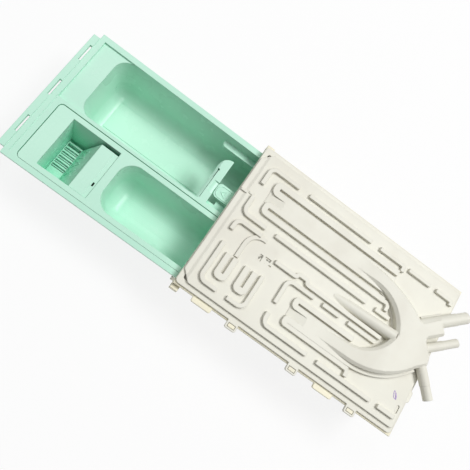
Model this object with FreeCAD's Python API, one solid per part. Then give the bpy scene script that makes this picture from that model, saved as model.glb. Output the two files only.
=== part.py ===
"""Washing machine detergent dispenser: pull-out drawer, housing and water distributor lid.

Millimetres. +X is to the right, +Y to the rear, +Z up; the drawer comes out towards -Y.
The origin is on the housing's underside, midway along and across the lid.
"""
import FreeCAD
import Part
import math
import os

V = FreeCAD.Vector

# Drawer, seen from above: rims and compartments from left to right
DRAWER_WIDTH = 189.0
LEFT_RIM = 7.5
DIVIDER = 4.5
INSERT_GAP = 1.0
RAIL_GAP = 0.3
INSERT_WIDTH = 80.0
RIGHT_RAIL = 6.7

# Drawer, from its front edge to its rear
DRAWER_LENGTH = 282.0
KEPT_INSIDE = 35.0
FRONT_STRIP = 9.0
STRIP_INSET = 7.5
SHELF_START = 16.0
MAIN_START = 42.0
BAFFLE_FROM_REAR = 71.0
BRIDGE_DEPTH = 14.0
REAR_BAR = 6.0
INSERT_START = 24.5
INSERT_TAIL = 13.0

# Drawer heights
DRAWER_DEPTH = 66.0
RIM_THICKNESS = 4.0
SHELF_DROP = 2.5
DRAWER_WALL = 2.0
MAIN_ROUND = 18.0
MAIN_TAPER = 5.0
MAIN_FRONT_TAPER = 9.0
SHELL_CHAMFER = 0.6
FLOOR_PAD = 0.5
FLOOR_PAD_SIDE = 24.0
FLOOR_PAD_FRONT = 17.0

# Slots for the front panel's clips
CLIP_SLOT_LENGTH = 23.5
CLIP_SLOT_WIDTH = 3.2
CLIP_SLOT_PITCH = 57.0
CLIP_SLOT_SHIFT = 3.8
CLIP_SLOT_BACK = 6.6

# Bridge over the main compartment, with the slot for a liquid gate
BRIDGE_REACH = 64.0
BRIDGE_PLATE = 4.0
BRIDGE_CORNER = 14.0
BRIDGE_LIP_DROP = 2.2
BRIDGE_LIP_RUN = 2.8
GATE_SLOT = 0.9
GATE_SLOT_REACH = 46.0
GATE_SLOT_BACK = 3.3
GATE_KEY = 2.4
GATE_WALL = 2.2
GATE_DROP = 34.0
SIDE_LEDGE_WIDTH = 9.0
SIDE_LEDGE_DROP = 15.0
SIDE_LEDGE_HEIGHT = 8.0
SIDE_LEDGE_LENGTH = 82.0

# Release lever
LEVER_WIDTH = 19.2
LEVER_LENGTH = 44.0
LEVER_THICKNESS = 3.0
LEVER_GAP = 0.5
LEVER_FROM_DIVIDER = 13.4
LEVER_CORNER = 5.0
LEVER_LIP = 6.0
SCOOP_RADIUS = 12.0
SCOOP_DEPTH = 2.3
POCKET_DROP = 6.5
POCKET_SIDE = 1.5
POCKET_HOLLOW = 6.0
POCKET_HOLLOW_LENGTH = 10.0
LEVER_PIN = 4.0
LEVER_PIN_LENGTH = 2.6
LEVER_PIN_DROP = 5.0
LEVER_BARREL = 7.0
PIN_CLEARANCE = 0.1
EAR_WIDTH = 4.0
EAR_DEPTH = 10.0
CATCH_LENGTH = 3.0
CATCH_OVERLAP = 1.0
CATCH_GAP = 0.6

# Insert tray: softener well and prewash compartment
INSERT_FLANGE = 2.5
INSERT_CORNER = 5.0
INSERT_LEDGE = 3.5
INSERT_WALL = 1.8
TUB_CLEARANCE = 1.0
WELL_START = 22.5
WELL_LENGTH = 66.0
WELL_DEPTH = 48.0
WELL_LEFT_TAPER = 10.4
WELL_FRONT_TAPER = 2.4
WELL_SEPARATION = 10.0
PREWASH_DEPTH = 52.0
PREWASH_ROUND = 21.0
PREWASH_TAPER = 6.0
SIPHON_OUTER = 9.0
SIPHON_INNER = 6.0
SIPHON_HEIGHT = 32.0

# Softener cover with its grating
COVER_SHEET = 2.0
COVER_LEFT_GAP = 4.4
COVER_SIDE_GAP = 0.3
COVER_CAP_LENGTH = 23.0
COVER_CAP_DROP = 1.0
COVER_SLOPE_RUN = 21.0
GRATING_DROP = 40.0
GRATING_SLOTS = 6
GRATING_PITCH = 6.25
GRATING_SLOT = 4.0
GRATING_FRONT_MARGIN = 3.4
GRATING_REAR_MARGIN = 0.4
GRATING_LEAD = 10.8
GRATING_RIB = 1.4
CAP_STRIP = 5.5
CAP_STRIP_DROP = 0.4
CAP_HOLE_LENGTH = 5.0
CAP_HOLE_WIDTH = 2.2
CAP_HOLE_FROM_RIGHT = 18.0
COVER_SKIRT = 9.0
CAP_SLEEVE = 13.0

# Housing
SIDE_CLEARANCE = 1.0
HOUSING_WALL = 2.2
LID_LIP = 2.3
LID_LENGTH = 306.0
BODY_CLEARANCE = 1.5
BODY_TAPER = 7.0
RAIL_THICKNESS = 3.0
RAIL_CLEARANCE = 0.3
FLOOR_HEIGHT = 10.0
FLOOR_FALL = 7.0
FLOOR_THICKNESS = 2.5
DRAWER_FLOOR_CLEARANCE = 3.0
FLANGE_REACH = 2.0
HOUSING_FLANGE = 3.0
KEEL_WIDTH = 6.0
LINTEL_DEPTH = 3.0
OUTLET_OUTER = 34.0
OUTLET_INNER = 29.0
OUTLET_LENGTH = 26.0
EAR_REACH = 9.5
EAR_LENGTH = 10.0
EAR_HEIGHT = 10.0
EAR_HOLE = 4.5
REST_TAB_REACH = 5.5
REST_TAB_LENGTH = 26.0
REST_TAB_STATIONS = (40.5, 211.5)

# Lid: shower plate and distributor cover
LID_CORNER = 5.0
LID_HEADROOM = 5.0
SHOWER_FLOOR = 2.0
SHOWER_DEPTH = 4.0
SHOWER_WALL = 2.0
SHOWER_CLEARANCE = 1.0
LID_FLANGE = 3.0
CHAMBER_WALL = 2.0
SHOWER_HOLE = 3.0
LOOP_STATIONS = (81.5, 166.5, 250.0)
LOOP_LENGTH = 14.0
LOOP_REACH = 9.5
LOOP_SHEET = 2.0
LOOP_WINDOW = 9.6
CATCH_PLAY = 0.5
REAR_TAB_SHIFT = 50.5
REAR_TAB_WIDTH = 15.0
REAR_TAB_REACH = 2.8
SKIRT_HEIGHT = 1.0
COVER_PLATE = 2.5
COVER_INSET = 6.0
COVER_FRONT_INSET = 1.0
COVER_REAR_INSET = 3.0
COVER_CHAMFER = 12.0
STEP_DEPTH = 7.2
STEP_RUN = 3.0
STEP_DROP = 1.2

# Raised ribs on the cover
RIB_WIDTH = 5.0
RIB_HEIGHT = 4.0
RIB_BEND = 8.0
LEFT_RIB = 21.6
MAIN_RIB = 88.9
FRONT_RIB = 18.8
MIDDLE_RIB = 99.6
SPINE_RIB = 114.9
PREWASH_RIB = 77.1
RIGHT_RIB = 17.4
PREWASH_FRONT = 107.5

# Small marks on the cover, each from the lid's left and front edges
NUBS = ((64.0, 67.0, 2.0, 10.0), (62.0, 65.0, 12.0, 19.0))
NUB_HEIGHT = 1.0
SLITS = ((117.0, 125.0, 64.0, 68.0), (116.0, 118.0, 71.0, 79.0), (122.2, 123.8, 79.0, 82.0))
RECESS = (167.0, 177.0, 296.5, 299.5)
RECESS_SOFT = 1.4
SLIT_DEPTH = 1.2

# Manifold of ducts, in plan from the hub's middle
HUB_HEIGHT = 14.0
HUB_FROM_REAR = 27.0
HUB_SHIFT = 4.0
HUB_SOFT = 4.0
LEFT_DUCT_START = 33.0
LEFT_DUCT_RAMP = 22.0
LEFT_DUCT_INSIDE = 41.0
LEFT_DUCT_OUTSIDE = 62.6
LEFT_INSIDE_CORNER = 43.5
LEFT_INSIDE_BEND = 54.4
LEFT_OUTSIDE_CORNER = 58.4
LEFT_OUTSIDE_BEND = 184.0
LEFT_DUCT_FOOT = 2.4
RIGHT_DUCT_START = 126.0
RIGHT_DUCT_RAMP = 24.0
RIGHT_DUCT_INSIDE = 38.0
RIGHT_DUCT_OUTSIDE = 57.3
RIGHT_INSIDE_CORNER = 44.9
RIGHT_INSIDE_BEND = 44.0
RIGHT_OUTSIDE_CORNER = 21.5
RIGHT_OUTSIDE_BEND = 92.3
RIGHT_DUCT_FOOT = 4.6
VALLEY_SHIFT = 1.3
VALLEY_AHEAD = 30.6
ARMPIT_SHIFT = 34.1
ARMPIT_AHEAD = 10.0
RISE_AHEAD = 104.0
CREST_AHEAD = 29.0
ROOF_BEND = 120.0
ROOF_CHAMFER = 3.5
RAMP_START = 0.4
DUCT_WALL = 2.2
DUCT_ROOF = 3.5
SPINE_START = 165.0
SPINE_RADIUS = 7.0

# Hose nozzles
NOZZLE_ANGLE = 42.0
NOZZLE_RISE = 5.6
NOZZLE_WALL = 1.9
NOZZLE_SHOULDER = 0.4
NOZZLE_SPACING = 27.6
LEFT_NOZZLE = 14.5
LEFT_NOZZLE_REACH = 82.0
LEFT_HOSE_SEAT = 15.0
LEFT_BLOCK = 44.0
LEFT_BLOCK_LEFT = 6.0
LEFT_BLOCK_RIGHT = 16.7
CENTRE_NOZZLE = 10.7
CENTRE_NOZZLE_REACH = 61.0
CENTRE_HOSE_SEAT = 20.0
CENTRE_BLOCK = 17.2
CENTRE_BLOCK_SIDE = 10.6
RIGHT_NOZZLE_ANGLE = 47.0
RIGHT_NOZZLE_SHIFT = 6.2
RIGHT_NOZZLE = 11.8
RIGHT_NOZZLE_REACH = 58.8
RIGHT_HOSE_SEAT = 17.0
RIGHT_BLOCK = 20.0
RIGHT_BLOCK_LEFT = 5.0
RIGHT_BLOCK_RIGHT = 9.0
CONDUIT_LEDGE = (22.0, 52.0)
CONDUIT_LEDGE_SHIFT = 7.2
CONDUIT_LEDGE_WIDTH = 4.4
CONDUIT_LEDGE_HEIGHT = 1.5

# Sizes that follow from the ones above
LID_WIDTH = DRAWER_WIDTH + 2 * (SIDE_CLEARANCE + HOUSING_WALL + LID_LIP)
FRONT = -LID_LENGTH / 2
REAR = LID_LENGTH / 2
LEFT = -LID_WIDTH / 2
RIGHT = LID_WIDTH / 2
FLANGE_HALF = LID_WIDTH / 2 + FLANGE_REACH
LOOP_TIP = LID_WIDTH / 2 + LOOP_REACH
LOOP_IN = FLANGE_HALF + CATCH_PLAY
LOOP_OUT = LOOP_TIP - LOOP_SHEET
HALF_DRAWER = DRAWER_WIDTH / 2
DRAWER_REAR = FRONT + KEPT_INSIDE
DRAWER_FRONT = DRAWER_REAR - DRAWER_LENGTH
BAFFLE_Y = DRAWER_REAR - BAFFLE_FROM_REAR
RIM_Z = FLOOR_HEIGHT + DRAWER_FLOOR_CLEARANCE + DRAWER_DEPTH
RAIL_Z = RIM_Z - RIM_THICKNESS - RAIL_CLEARANCE
SHOWER_Z = RIM_Z + LID_HEADROOM
HOUSING_TOP = SHOWER_Z + SHOWER_DEPTH
LID_TOP = HOUSING_TOP + LID_FLANGE
PLATE_Z = LID_TOP + SKIRT_HEIGHT
COVER_Z = PLATE_Z + COVER_PLATE
MAIN_LEFT = -HALF_DRAWER + LEFT_RIM
INSERT_RIGHT = HALF_DRAWER - RIGHT_RAIL - RAIL_GAP
INSERT_LEFT = INSERT_RIGHT - INSERT_WIDTH
MAIN_RIGHT = INSERT_LEFT - INSERT_GAP - DIVIDER
BODY_HALF = -MAIN_LEFT + DRAWER_WALL + BODY_CLEARANCE
SHELL_HALF = HALF_DRAWER + SIDE_CLEARANCE
WELL_LEFT = INSERT_LEFT + INSERT_LEDGE + TUB_CLEARANCE + INSERT_WALL
WELL_RIGHT = INSERT_RIGHT - INSERT_LEDGE - TUB_CLEARANCE - INSERT_WALL
WELL_FRONT = DRAWER_FRONT + INSERT_START + WELL_START
WELL_REAR = WELL_FRONT + WELL_LENGTH
PREWASH_FRONT_EDGE = WELL_REAR + WELL_SEPARATION
INSERT_REAR = DRAWER_REAR - REAR_BAR - INSERT_TAIL
LEVER_RIGHT = MAIN_RIGHT - LEVER_FROM_DIVIDER
LEVER_LEFT = LEVER_RIGHT - LEVER_WIDTH
LEVER_FRONT = BAFFLE_Y + BRIDGE_DEPTH + LEVER_GAP
LEVER_PIVOT_Y = LEVER_FRONT + LEVER_LENGTH
LEVER_PIVOT_Z = RIM_Z - LEVER_PIN_DROP
LINTEL_Z = RIM_Z + 2 * CATCH_OVERLAP
HUB_X = HUB_SHIFT
HUB_Y = REAR - HUB_FROM_REAR
CREST_Y = HUB_Y - CREST_AHEAD


def box(x0, x1, y0, y1, z0, z1):
    """Axis-aligned block between two corners."""
    return Part.makeBox(x1 - x0, y1 - y0, z1 - z0, V(x0, y0, z0))


def outline(points, radii):
    """Closed plan outline through the points, each corner rounded by its own radius."""
    count = len(points)
    corners = []
    for index in range(count):
        here = V(points[index][0], points[index][1], 0)
        before = V(points[index - 1][0], points[index - 1][1], 0)
        after = V(points[(index + 1) % count][0], points[(index + 1) % count][1], 0)
        back = (before - here).normalize()
        ahead = (after - here).normalize()
        radius = radii[index]
        if radius <= 0:
            corners.append((here, None, here))
            continue
        half = back.getAngle(ahead) / 2
        shorter = min((before - here).Length, (after - here).Length)
        reach = min(radius / math.tan(half), shorter)
        radius = reach * math.tan(half)
        bisector = (back + ahead).normalize()
        centre = here + bisector * (radius / math.sin(half))
        corners.append((here + back * reach, centre - bisector * radius, here + ahead * reach))
    edges = []
    for index in range(count):
        start, middle, end = corners[index]
        if middle is not None:
            edges.append(Part.Arc(start, middle, end).toShape())
        following = corners[(index + 1) % count][0]
        if end.distanceToPoint(following) > 1e-6:
            edges.append(Part.LineSegment(end, following).toShape())
    return Part.Face(Part.Wire(edges))


def rounded_rectangle(x0, x1, y0, y1, front_radius, rear_radius):
    """Plan rectangle with its front and rear corners rounded."""
    points = [(x0, y0), (x1, y0), (x1, y1), (x0, y1)]
    return outline(points, [front_radius, front_radius, rear_radius, rear_radius])


def raised(face, z0, z1):
    """Plan face lifted to z0 and extruded up to z1."""
    solid = face.extrude(V(0, 0, z1 - z0))
    solid.translate(V(0, 0, z0))
    return solid


def ribbon(points, left, right, bend):
    """Band along a path, reaching left and right of it, with the path's corners rounded."""
    count = len(points)
    path = [V(point[0], point[1], 0) for point in points]
    sides = []
    for reach, sign in ((left, 1), (right, -1)):
        side = []
        for index in range(count):
            ahead = (path[min(index + 1, count - 1)] - path[min(index, count - 2)]).normalize()
            behind = (path[max(index, 1)] - path[max(index - 1, 0)]).normalize()
            normal_ahead = V(-ahead.y, ahead.x, 0) * sign
            normal_behind = V(-behind.y, behind.x, 0) * sign
            middle = (normal_ahead + normal_behind).normalize()
            stretch = reach / middle.dot(normal_ahead)
            turn = (behind.x * ahead.y - behind.y * ahead.x) * sign
            radius = 0
            if turn > 1e-6:
                radius = bend - reach
            if turn < -1e-6:
                radius = bend + reach
            corner = path[index] + middle * stretch
            side.append(((corner.x, corner.y), radius))
        sides.append(side)
    loop = sides[1] + sides[0][::-1]
    return outline([item[0] for item in loop], [item[1] for item in loop])


def rib(points, bend=RIB_BEND):
    """Raised rib along a path on the cover."""
    return raised(ribbon(points, RIB_WIDTH / 2, RIB_WIDTH / 2, bend), PLATE_Z, COVER_Z + RIB_HEIGHT)


def frustum(x0, x1, y0, y1, z_top, z_bottom, left_in, right_in, front_in):
    """Upright-backed solid that narrows downward on its left, right and front."""
    top = [V(x0, y0, z_top), V(x1, y0, z_top), V(x1, y1, z_top), V(x0, y1, z_top)]
    low = [
        V(x0 + left_in, y0 + front_in, z_bottom),
        V(x1 - right_in, y0 + front_in, z_bottom),
        V(x1 - right_in, y1, z_bottom),
        V(x0 + left_in, y1, z_bottom),
    ]
    faces = [Part.Face(Part.makePolygon(ring + ring[:1])) for ring in (top, low)]
    for index in range(4):
        following = (index + 1) % 4
        side = [top[index], top[following], low[following], low[index]]
        faces.append(Part.Face(Part.makePolygon(side + side[:1])))
    solid = Part.makeSolid(Part.makeShell(faces))
    if solid.Volume < 0:
        solid.reverse()
    return solid


def tub_edges(solid):
    """Edges of a frustum at its front corners and around its bottom, leaving out the rear."""
    bounds = solid.BoundBox
    chosen = []
    for edge in solid.Edges:
        sloping = edge.BoundBox.ZLength > bounds.ZLength / 2
        at_front = edge.BoundBox.Center.y < bounds.Center.y
        at_bottom = abs(edge.BoundBox.ZMax - bounds.ZMin) < 1e-4
        at_rear = edge.BoundBox.Center.y > bounds.YMax - 1e-3
        if (sloping and at_front) or (at_bottom and not at_rear):
            chosen.append(edge)
    return chosen


def tub_room(x0, x1, y0, y1, z_top, z_bottom, taper, front_taper, radius):
    """Inside of a tub: a frustum with rounded front corners and bottom."""
    solid = frustum(x0, x1, y0, y1, z_top, z_bottom, taper, taper, front_taper)
    return solid.makeFillet(radius, tub_edges(solid))


def tub_shell(x0, x1, y0, y1, z_top, z_bottom, taper, front_taper, radius):
    """Outside of a tub: a frustum with bevels that follow the rounding of the room."""
    solid = frustum(x0, x1, y0, y1, z_top, z_bottom, taper, taper, front_taper)
    return solid.makeChamfer(SHELL_CHAMFER * radius, tub_edges(solid))


def fused(first, others):
    """Union of one solid with a list of others, with flush faces joined."""
    return first.multiFuse(others).removeSplitter()


def export(shape, node):
    """Write one sub-part as a STEP file."""
    shape.exportStep("parts/" + node + ".step")


# The helpers below turn distances from the lid's edges into plan positions.
def from_left(distance):
    return LEFT + distance


def from_right(distance):
    return RIGHT - distance


def from_front(distance):
    return FRONT + distance


def from_rear(distance):
    return REAR - distance


def along_drawer(distance):
    return DRAWER_FRONT + distance


def housing():
    """Tub that carries the lid and guides the drawer, with sloping floor and outlet spout."""
    shell_outer = SHELL_HALF + HOUSING_WALL
    body_outer = BODY_HALF + HOUSING_WALL
    rail_low = RAIL_Z - RAIL_THICKNESS
    flange_low = HOUSING_TOP - HOUSING_FLANGE
    half = [
        (body_outer - BODY_TAPER, 0),
        (body_outer, rail_low),
        (shell_outer, rail_low),
        (shell_outer, flange_low),
        (FLANGE_HALF, flange_low),
        (FLANGE_HALF, HOUSING_TOP),
    ]
    section = [V(x, FRONT, z) for x, z in half] + [V(-x, FRONT, z) for x, z in half[::-1]]
    body = Part.Face(Part.makePolygon(section + section[:1])).extrude(V(0, LID_LENGTH, 0))
    slope = BODY_TAPER / rail_low
    low_half = BODY_HALF - BODY_TAPER + slope * FLOOR_HEIGHT
    hollow_half = [
        (low_half, FLOOR_HEIGHT),
        (BODY_HALF, RAIL_Z),
        (SHELL_HALF, RAIL_Z),
        (SHELL_HALF, HOUSING_TOP),
    ]
    hollow = [V(x, FRONT, z) for x, z in hollow_half] + [V(-x, FRONT, z) for x, z in hollow_half[::-1]]
    inside = Part.Face(Part.makePolygon(hollow + hollow[:1])).extrude(V(0, LID_LENGTH - HOUSING_WALL, 0))
    fall = [
        V(-low_half, FRONT, FLOOR_HEIGHT),
        V(-low_half, REAR - HOUSING_WALL, FLOOR_HEIGHT),
        V(-low_half, REAR - HOUSING_WALL, FLOOR_HEIGHT - FLOOR_FALL),
    ]
    fall_cut = Part.Face(Part.makePolygon(fall + fall[:1])).extrude(V(2 * low_half, 0, 0))
    foot_front = FRONT + HOUSING_WALL
    foot_rear = REAR - HOUSING_WALL
    run = LID_LENGTH - HOUSING_WALL
    front_height = FLOOR_HEIGHT - FLOOR_FALL * HOUSING_WALL / run - FLOOR_THICKNESS
    rear_height = FLOOR_HEIGHT - FLOOR_FALL - FLOOR_THICKNESS
    foot_half = BODY_HALF - BODY_TAPER
    foot = [
        V(-foot_half, foot_front, 0),
        V(-foot_half, foot_front, front_height),
        V(-foot_half, foot_rear, rear_height),
        V(-foot_half, foot_rear, 0),
    ]
    hollow_foot = Part.Face(Part.makePolygon(foot + foot[:1])).extrude(V(2 * foot_half, 0, 0))
    keel = box(-KEEL_WIDTH / 2, KEEL_WIDTH / 2, foot_front, foot_rear, 0, FLOOR_HEIGHT)
    body = body.cut(inside).cut(fall_cut).cut(hollow_foot.cut(keel))
    lintel = box(-SHELL_HALF, SHELL_HALF, FRONT, FRONT + LINTEL_DEPTH, LINTEL_Z, HOUSING_TOP)
    rear_flange = box(-FLANGE_HALF, FLANGE_HALF, REAR, REAR + FLANGE_REACH, flange_low, HOUSING_TOP)
    additions = [lintel, rear_flange]
    for station in REST_TAB_STATIONS:
        tab_y = from_front(station)
        start = FLANGE_HALF - FLANGE_REACH
        end = FLANGE_HALF + REST_TAB_REACH
        tab = outline(
            [
                (start, tab_y - REST_TAB_LENGTH / 2),
                (end, tab_y - REST_TAB_LENGTH / 2),
                (end, tab_y + REST_TAB_LENGTH / 2),
                (start, tab_y + REST_TAB_LENGTH / 2),
            ],
            [0, FLANGE_REACH, FLANGE_REACH, 0],
        )
        additions.append(raised(tab, flange_low, HOUSING_TOP))
    for station in LOOP_STATIONS:
        station_y = from_front(station)
        reach = LOOP_WINDOW / 2 - CATCH_PLAY
        near = station_y - reach
        beyond = station_y + reach
        post_out = LOOP_OUT - CATCH_PLAY
        additions.append(box(shell_outer, post_out, near, beyond, flange_low, HOUSING_TOP))
        additions.append(box(LOOP_IN + CATCH_PLAY, post_out, near, beyond, flange_low, LID_TOP))
    for side in (-1, 1):
        ear_in, ear_out = sorted((side * shell_outer, side * (shell_outer + EAR_REACH)))
        ear = box(ear_in, ear_out, FRONT, FRONT + EAR_LENGTH, rail_low, rail_low + EAR_HEIGHT)
        ear_hole = Part.makeCylinder(
            EAR_HOLE / 2,
            EAR_LENGTH,
            V(side * (shell_outer + EAR_REACH / 2), FRONT, rail_low + EAR_HEIGHT / 2),
            V(0, 1, 0),
        )
        additions.append(ear.cut(ear_hole))
    outlet_z = FLOOR_HEIGHT - FLOOR_FALL + OUTLET_OUTER / 2
    wall_y = REAR - HOUSING_WALL
    spout_length = HOUSING_WALL + OUTLET_LENGTH
    spout = Part.makeCylinder(OUTLET_OUTER / 2, spout_length, V(0, wall_y, outlet_z), V(0, 1, 0))
    additions.append(spout)
    bore = Part.makeCylinder(OUTLET_INNER / 2, spout_length, V(0, wall_y, outlet_z), V(0, 1, 0))
    return fused(body, additions).cut(bore)


def shower_plate():
    """Lower half of the lid: flange, perforated floor, chamber walls and snap loops."""
    flange = raised(rounded_rectangle(LEFT, RIGHT, FRONT, REAR, LID_CORNER, LID_CORNER), HOUSING_TOP, LID_TOP)
    tray_half = SHELL_HALF - SHOWER_CLEARANCE
    tray_front = FRONT + LINTEL_DEPTH + SHOWER_CLEARANCE
    tray_rear = REAR - HOUSING_WALL - SHOWER_CLEARANCE
    tray = raised(
        rounded_rectangle(-tray_half, tray_half, tray_front, tray_rear, LID_CORNER, LID_CORNER),
        SHOWER_Z,
        HOUSING_TOP,
    )
    room = raised(
        rounded_rectangle(
            -tray_half + SHOWER_WALL,
            tray_half - SHOWER_WALL,
            tray_front + SHOWER_WALL,
            tray_rear - SHOWER_WALL,
            LID_CORNER - SHOWER_WALL,
            LID_CORNER - SHOWER_WALL,
        ),
        SHOWER_Z + SHOWER_FLOOR,
        LID_TOP,
    )
    plate = flange.fuse(tray).cut(room)
    additions = []
    half_wall = CHAMBER_WALL / 2
    wall_paths = [
        [
            (from_left(LEFT_RIB), from_rear(HUB_FROM_REAR)),
            (from_left(LEFT_RIB), from_front(FRONT_RIB)),
            (from_left(MAIN_RIB), from_front(FRONT_RIB)),
            (from_left(MAIN_RIB), from_rear(HUB_FROM_REAR)),
        ],
        [
            (from_right(PREWASH_RIB), from_rear(HUB_FROM_REAR)),
            (from_right(PREWASH_RIB), from_front(PREWASH_FRONT)),
            (from_right(RIGHT_RIB), from_front(PREWASH_FRONT)),
            (from_right(RIGHT_RIB), from_rear(HUB_FROM_REAR)),
        ],
        [
            (from_right(PREWASH_RIB - RIB_WIDTH), from_front(PREWASH_FRONT - 2 * RIB_WIDTH)),
            (from_right(RIGHT_RIB), from_front(PREWASH_FRONT - 2 * RIB_WIDTH)),
            (from_right(RIGHT_RIB), from_front(FRONT_RIB)),
            (from_left(MIDDLE_RIB), from_front(FRONT_RIB)),
        ],
    ]
    for path in wall_paths:
        wall = ribbon(path, half_wall, half_wall, RIB_BEND)
        additions.append(raised(wall, SHOWER_Z + SHOWER_FLOOR, PLATE_Z))
    for station in LOOP_STATIONS:
        station_y = from_front(station)
        half_length = LOOP_LENGTH / 2
        tab = outline(
            [
                (LID_WIDTH / 2 - LID_LIP, station_y - half_length),
                (LOOP_TIP, station_y - half_length),
                (LOOP_TIP, station_y + half_length),
                (LID_WIDTH / 2 - LID_LIP, station_y + half_length),
            ],
            [0, FLANGE_REACH, FLANGE_REACH, 0],
        )
        window = box(
            LOOP_IN,
            LOOP_OUT,
            station_y - LOOP_WINDOW / 2,
            station_y + LOOP_WINDOW / 2,
            HOUSING_TOP,
            LID_TOP,
        )
        additions.append(raised(tab, HOUSING_TOP, LID_TOP).cut(window))
    rear_tab = rounded_rectangle(
        REAR_TAB_SHIFT - REAR_TAB_WIDTH / 2,
        REAR_TAB_SHIFT + REAR_TAB_WIDTH / 2,
        REAR - LID_LIP,
        REAR + REAR_TAB_REACH,
        0,
        REAR_TAB_REACH,
    )
    additions.append(raised(rear_tab, HOUSING_TOP, LID_TOP))
    plate = fused(plate, additions)
    holes = []
    rows = (
        (from_left(LEFT_RIB), from_left(MAIN_RIB), 2, from_front(FRONT_RIB), from_rear(2 * HUB_FROM_REAR), 7),
        (from_right(PREWASH_RIB), from_right(RIGHT_RIB), 2, from_front(PREWASH_FRONT),
         from_rear(2 * HUB_FROM_REAR), 4),
        (from_right(PREWASH_RIB), from_right(RIGHT_RIB), 2, from_front(FRONT_RIB),
         from_front(PREWASH_FRONT - 2 * RIB_WIDTH), 2),
    )
    for x0, x1, across, y0, y1, lengthwise in rows:
        for column in range(across):
            for row in range(lengthwise):
                x = x0 + (x1 - x0) * (column + 1) / (across + 1)
                y = y0 + (y1 - y0) * (row + 1) / (lengthwise + 1)
                half = SHOWER_HOLE / 2
                holes.append(box(x - half, x + half, y - half, y + half, SHOWER_Z, SHOWER_Z + SHOWER_FLOOR))
    return plate.cut(Part.makeCompound(holes))


def hairpin(x, half_width, slot_width, y_front, y_end, slot_lead):
    """Pair of raised legs joined by a round front end, with a narrow slot between them."""
    ring = outline(
        [
            (x - half_width, y_end),
            (x - half_width, y_front),
            (x + half_width, y_front),
            (x + half_width, y_end),
        ],
        [0, half_width - slot_width / 2, half_width - slot_width / 2, 0],
    )
    solid = raised(ring, PLATE_Z, COVER_Z + RIB_HEIGHT)
    slot = box(
        x - slot_width / 2, x + slot_width / 2, y_front + slot_lead, y_end, COVER_Z, COVER_Z + RIB_HEIGHT
    )
    return solid.cut(slot)


def finger(x_tip, x_end, y, half_width, slot_width, slot_lead):
    """Hairpin lying across the lid, with its round end to the right."""
    ring = outline(
        [(x_end, y - half_width), (x_tip, y - half_width), (x_tip, y + half_width), (x_end, y + half_width)],
        [0, half_width - slot_width / 2, half_width - slot_width / 2, 0],
    )
    solid = raised(ring, PLATE_Z, COVER_Z + RIB_HEIGHT)
    slot = box(
        x_end, x_tip - slot_lead, y - slot_width / 2, y + slot_width / 2, COVER_Z, COVER_Z + RIB_HEIGHT
    )
    return solid.cut(slot)


def mark_plan(mark, soft):
    """Plan of a small mark given by its left, right, front and rear distances on the lid."""
    return rounded_rectangle(
        from_left(mark[0]), from_left(mark[1]), from_front(mark[2]), from_front(mark[3]), soft, soft
    )


def ramped(face, stations, bend, low_z, drop):
    """Plan face raised to a roof that rises along Y through (position, height) stations, softly bent."""
    tall = raised(face, low_z, COVER_Z + HUB_HEIGHT + 1)
    points = [(stations[0][0], low_z)]
    points += [(position, COVER_Z + height - drop) for position, height in stations]
    points += [(stations[-1][0], low_z)]
    section = outline(points, [0, 0] + [bend] * (len(stations) - 2) + [0, 0])
    section.Placement = FreeCAD.Placement(V(LEFT, 0, 0), FreeCAD.Rotation(V(1, 1, 1), 120))
    return tall.common(section.extrude(V(LID_WIDTH, 0, 0)))


def ramp_cut(x0, x1, y0, run):
    """Wedge that takes the front end of a duct down to the plate."""
    climb = RIB_HEIGHT - RAMP_START
    over = run * (climb + 1) / climb
    corners = [
        V(x0, y0, COVER_Z + RAMP_START),
        V(x0, y0, COVER_Z + RIB_HEIGHT + 1),
        V(x0, y0 + over, COVER_Z + RIB_HEIGHT + 1),
    ]
    return Part.Face(Part.makePolygon(corners + corners[:1])).extrude(V(x1 - x0, 0, 0))


def heading(angle):
    """Level direction turned right of the rear by an angle in degrees, and the direction to its right."""
    turn = math.radians(angle)
    return V(math.sin(turn), math.cos(turn), 0), V(math.cos(turn), -math.sin(turn), 0)


def beside(root, directions, along, aside):
    """Plan position along a nozzle's axis and to the right of it."""
    point = root + directions[0] * along + directions[1] * aside
    return (point.x, point.y)


def spine_duct(radius):
    """Round-backed duct that climbs along the lid's middle to the hub."""
    low = V(HUB_X, from_front(SPINE_START), COVER_Z + RAMP_START - SPINE_RADIUS)
    top = V(HUB_X, CREST_Y, COVER_Z + HUB_HEIGHT - SPINE_RADIUS)
    end = V(HUB_X, HUB_Y, top.z)
    climb = Part.makeCylinder(radius, low.distanceToPoint(top), low, top - low)
    level = Part.makeCylinder(radius, CREST_AHEAD, top, V(0, 1, 0))
    side = [low, top, end, V(HUB_X, HUB_Y, low.z)]
    below = Part.Face(Part.makePolygon(side + side[:1])).extrude(V(2 * radius, 0, 0))
    below.translate(V(-radius, 0, 0))
    above_plate = box(LEFT, RIGHT, FRONT, REAR, PLATE_Z, COVER_Z + HUB_HEIGHT + 1)
    return fused(climb, [level, below]).common(above_plate)


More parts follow.
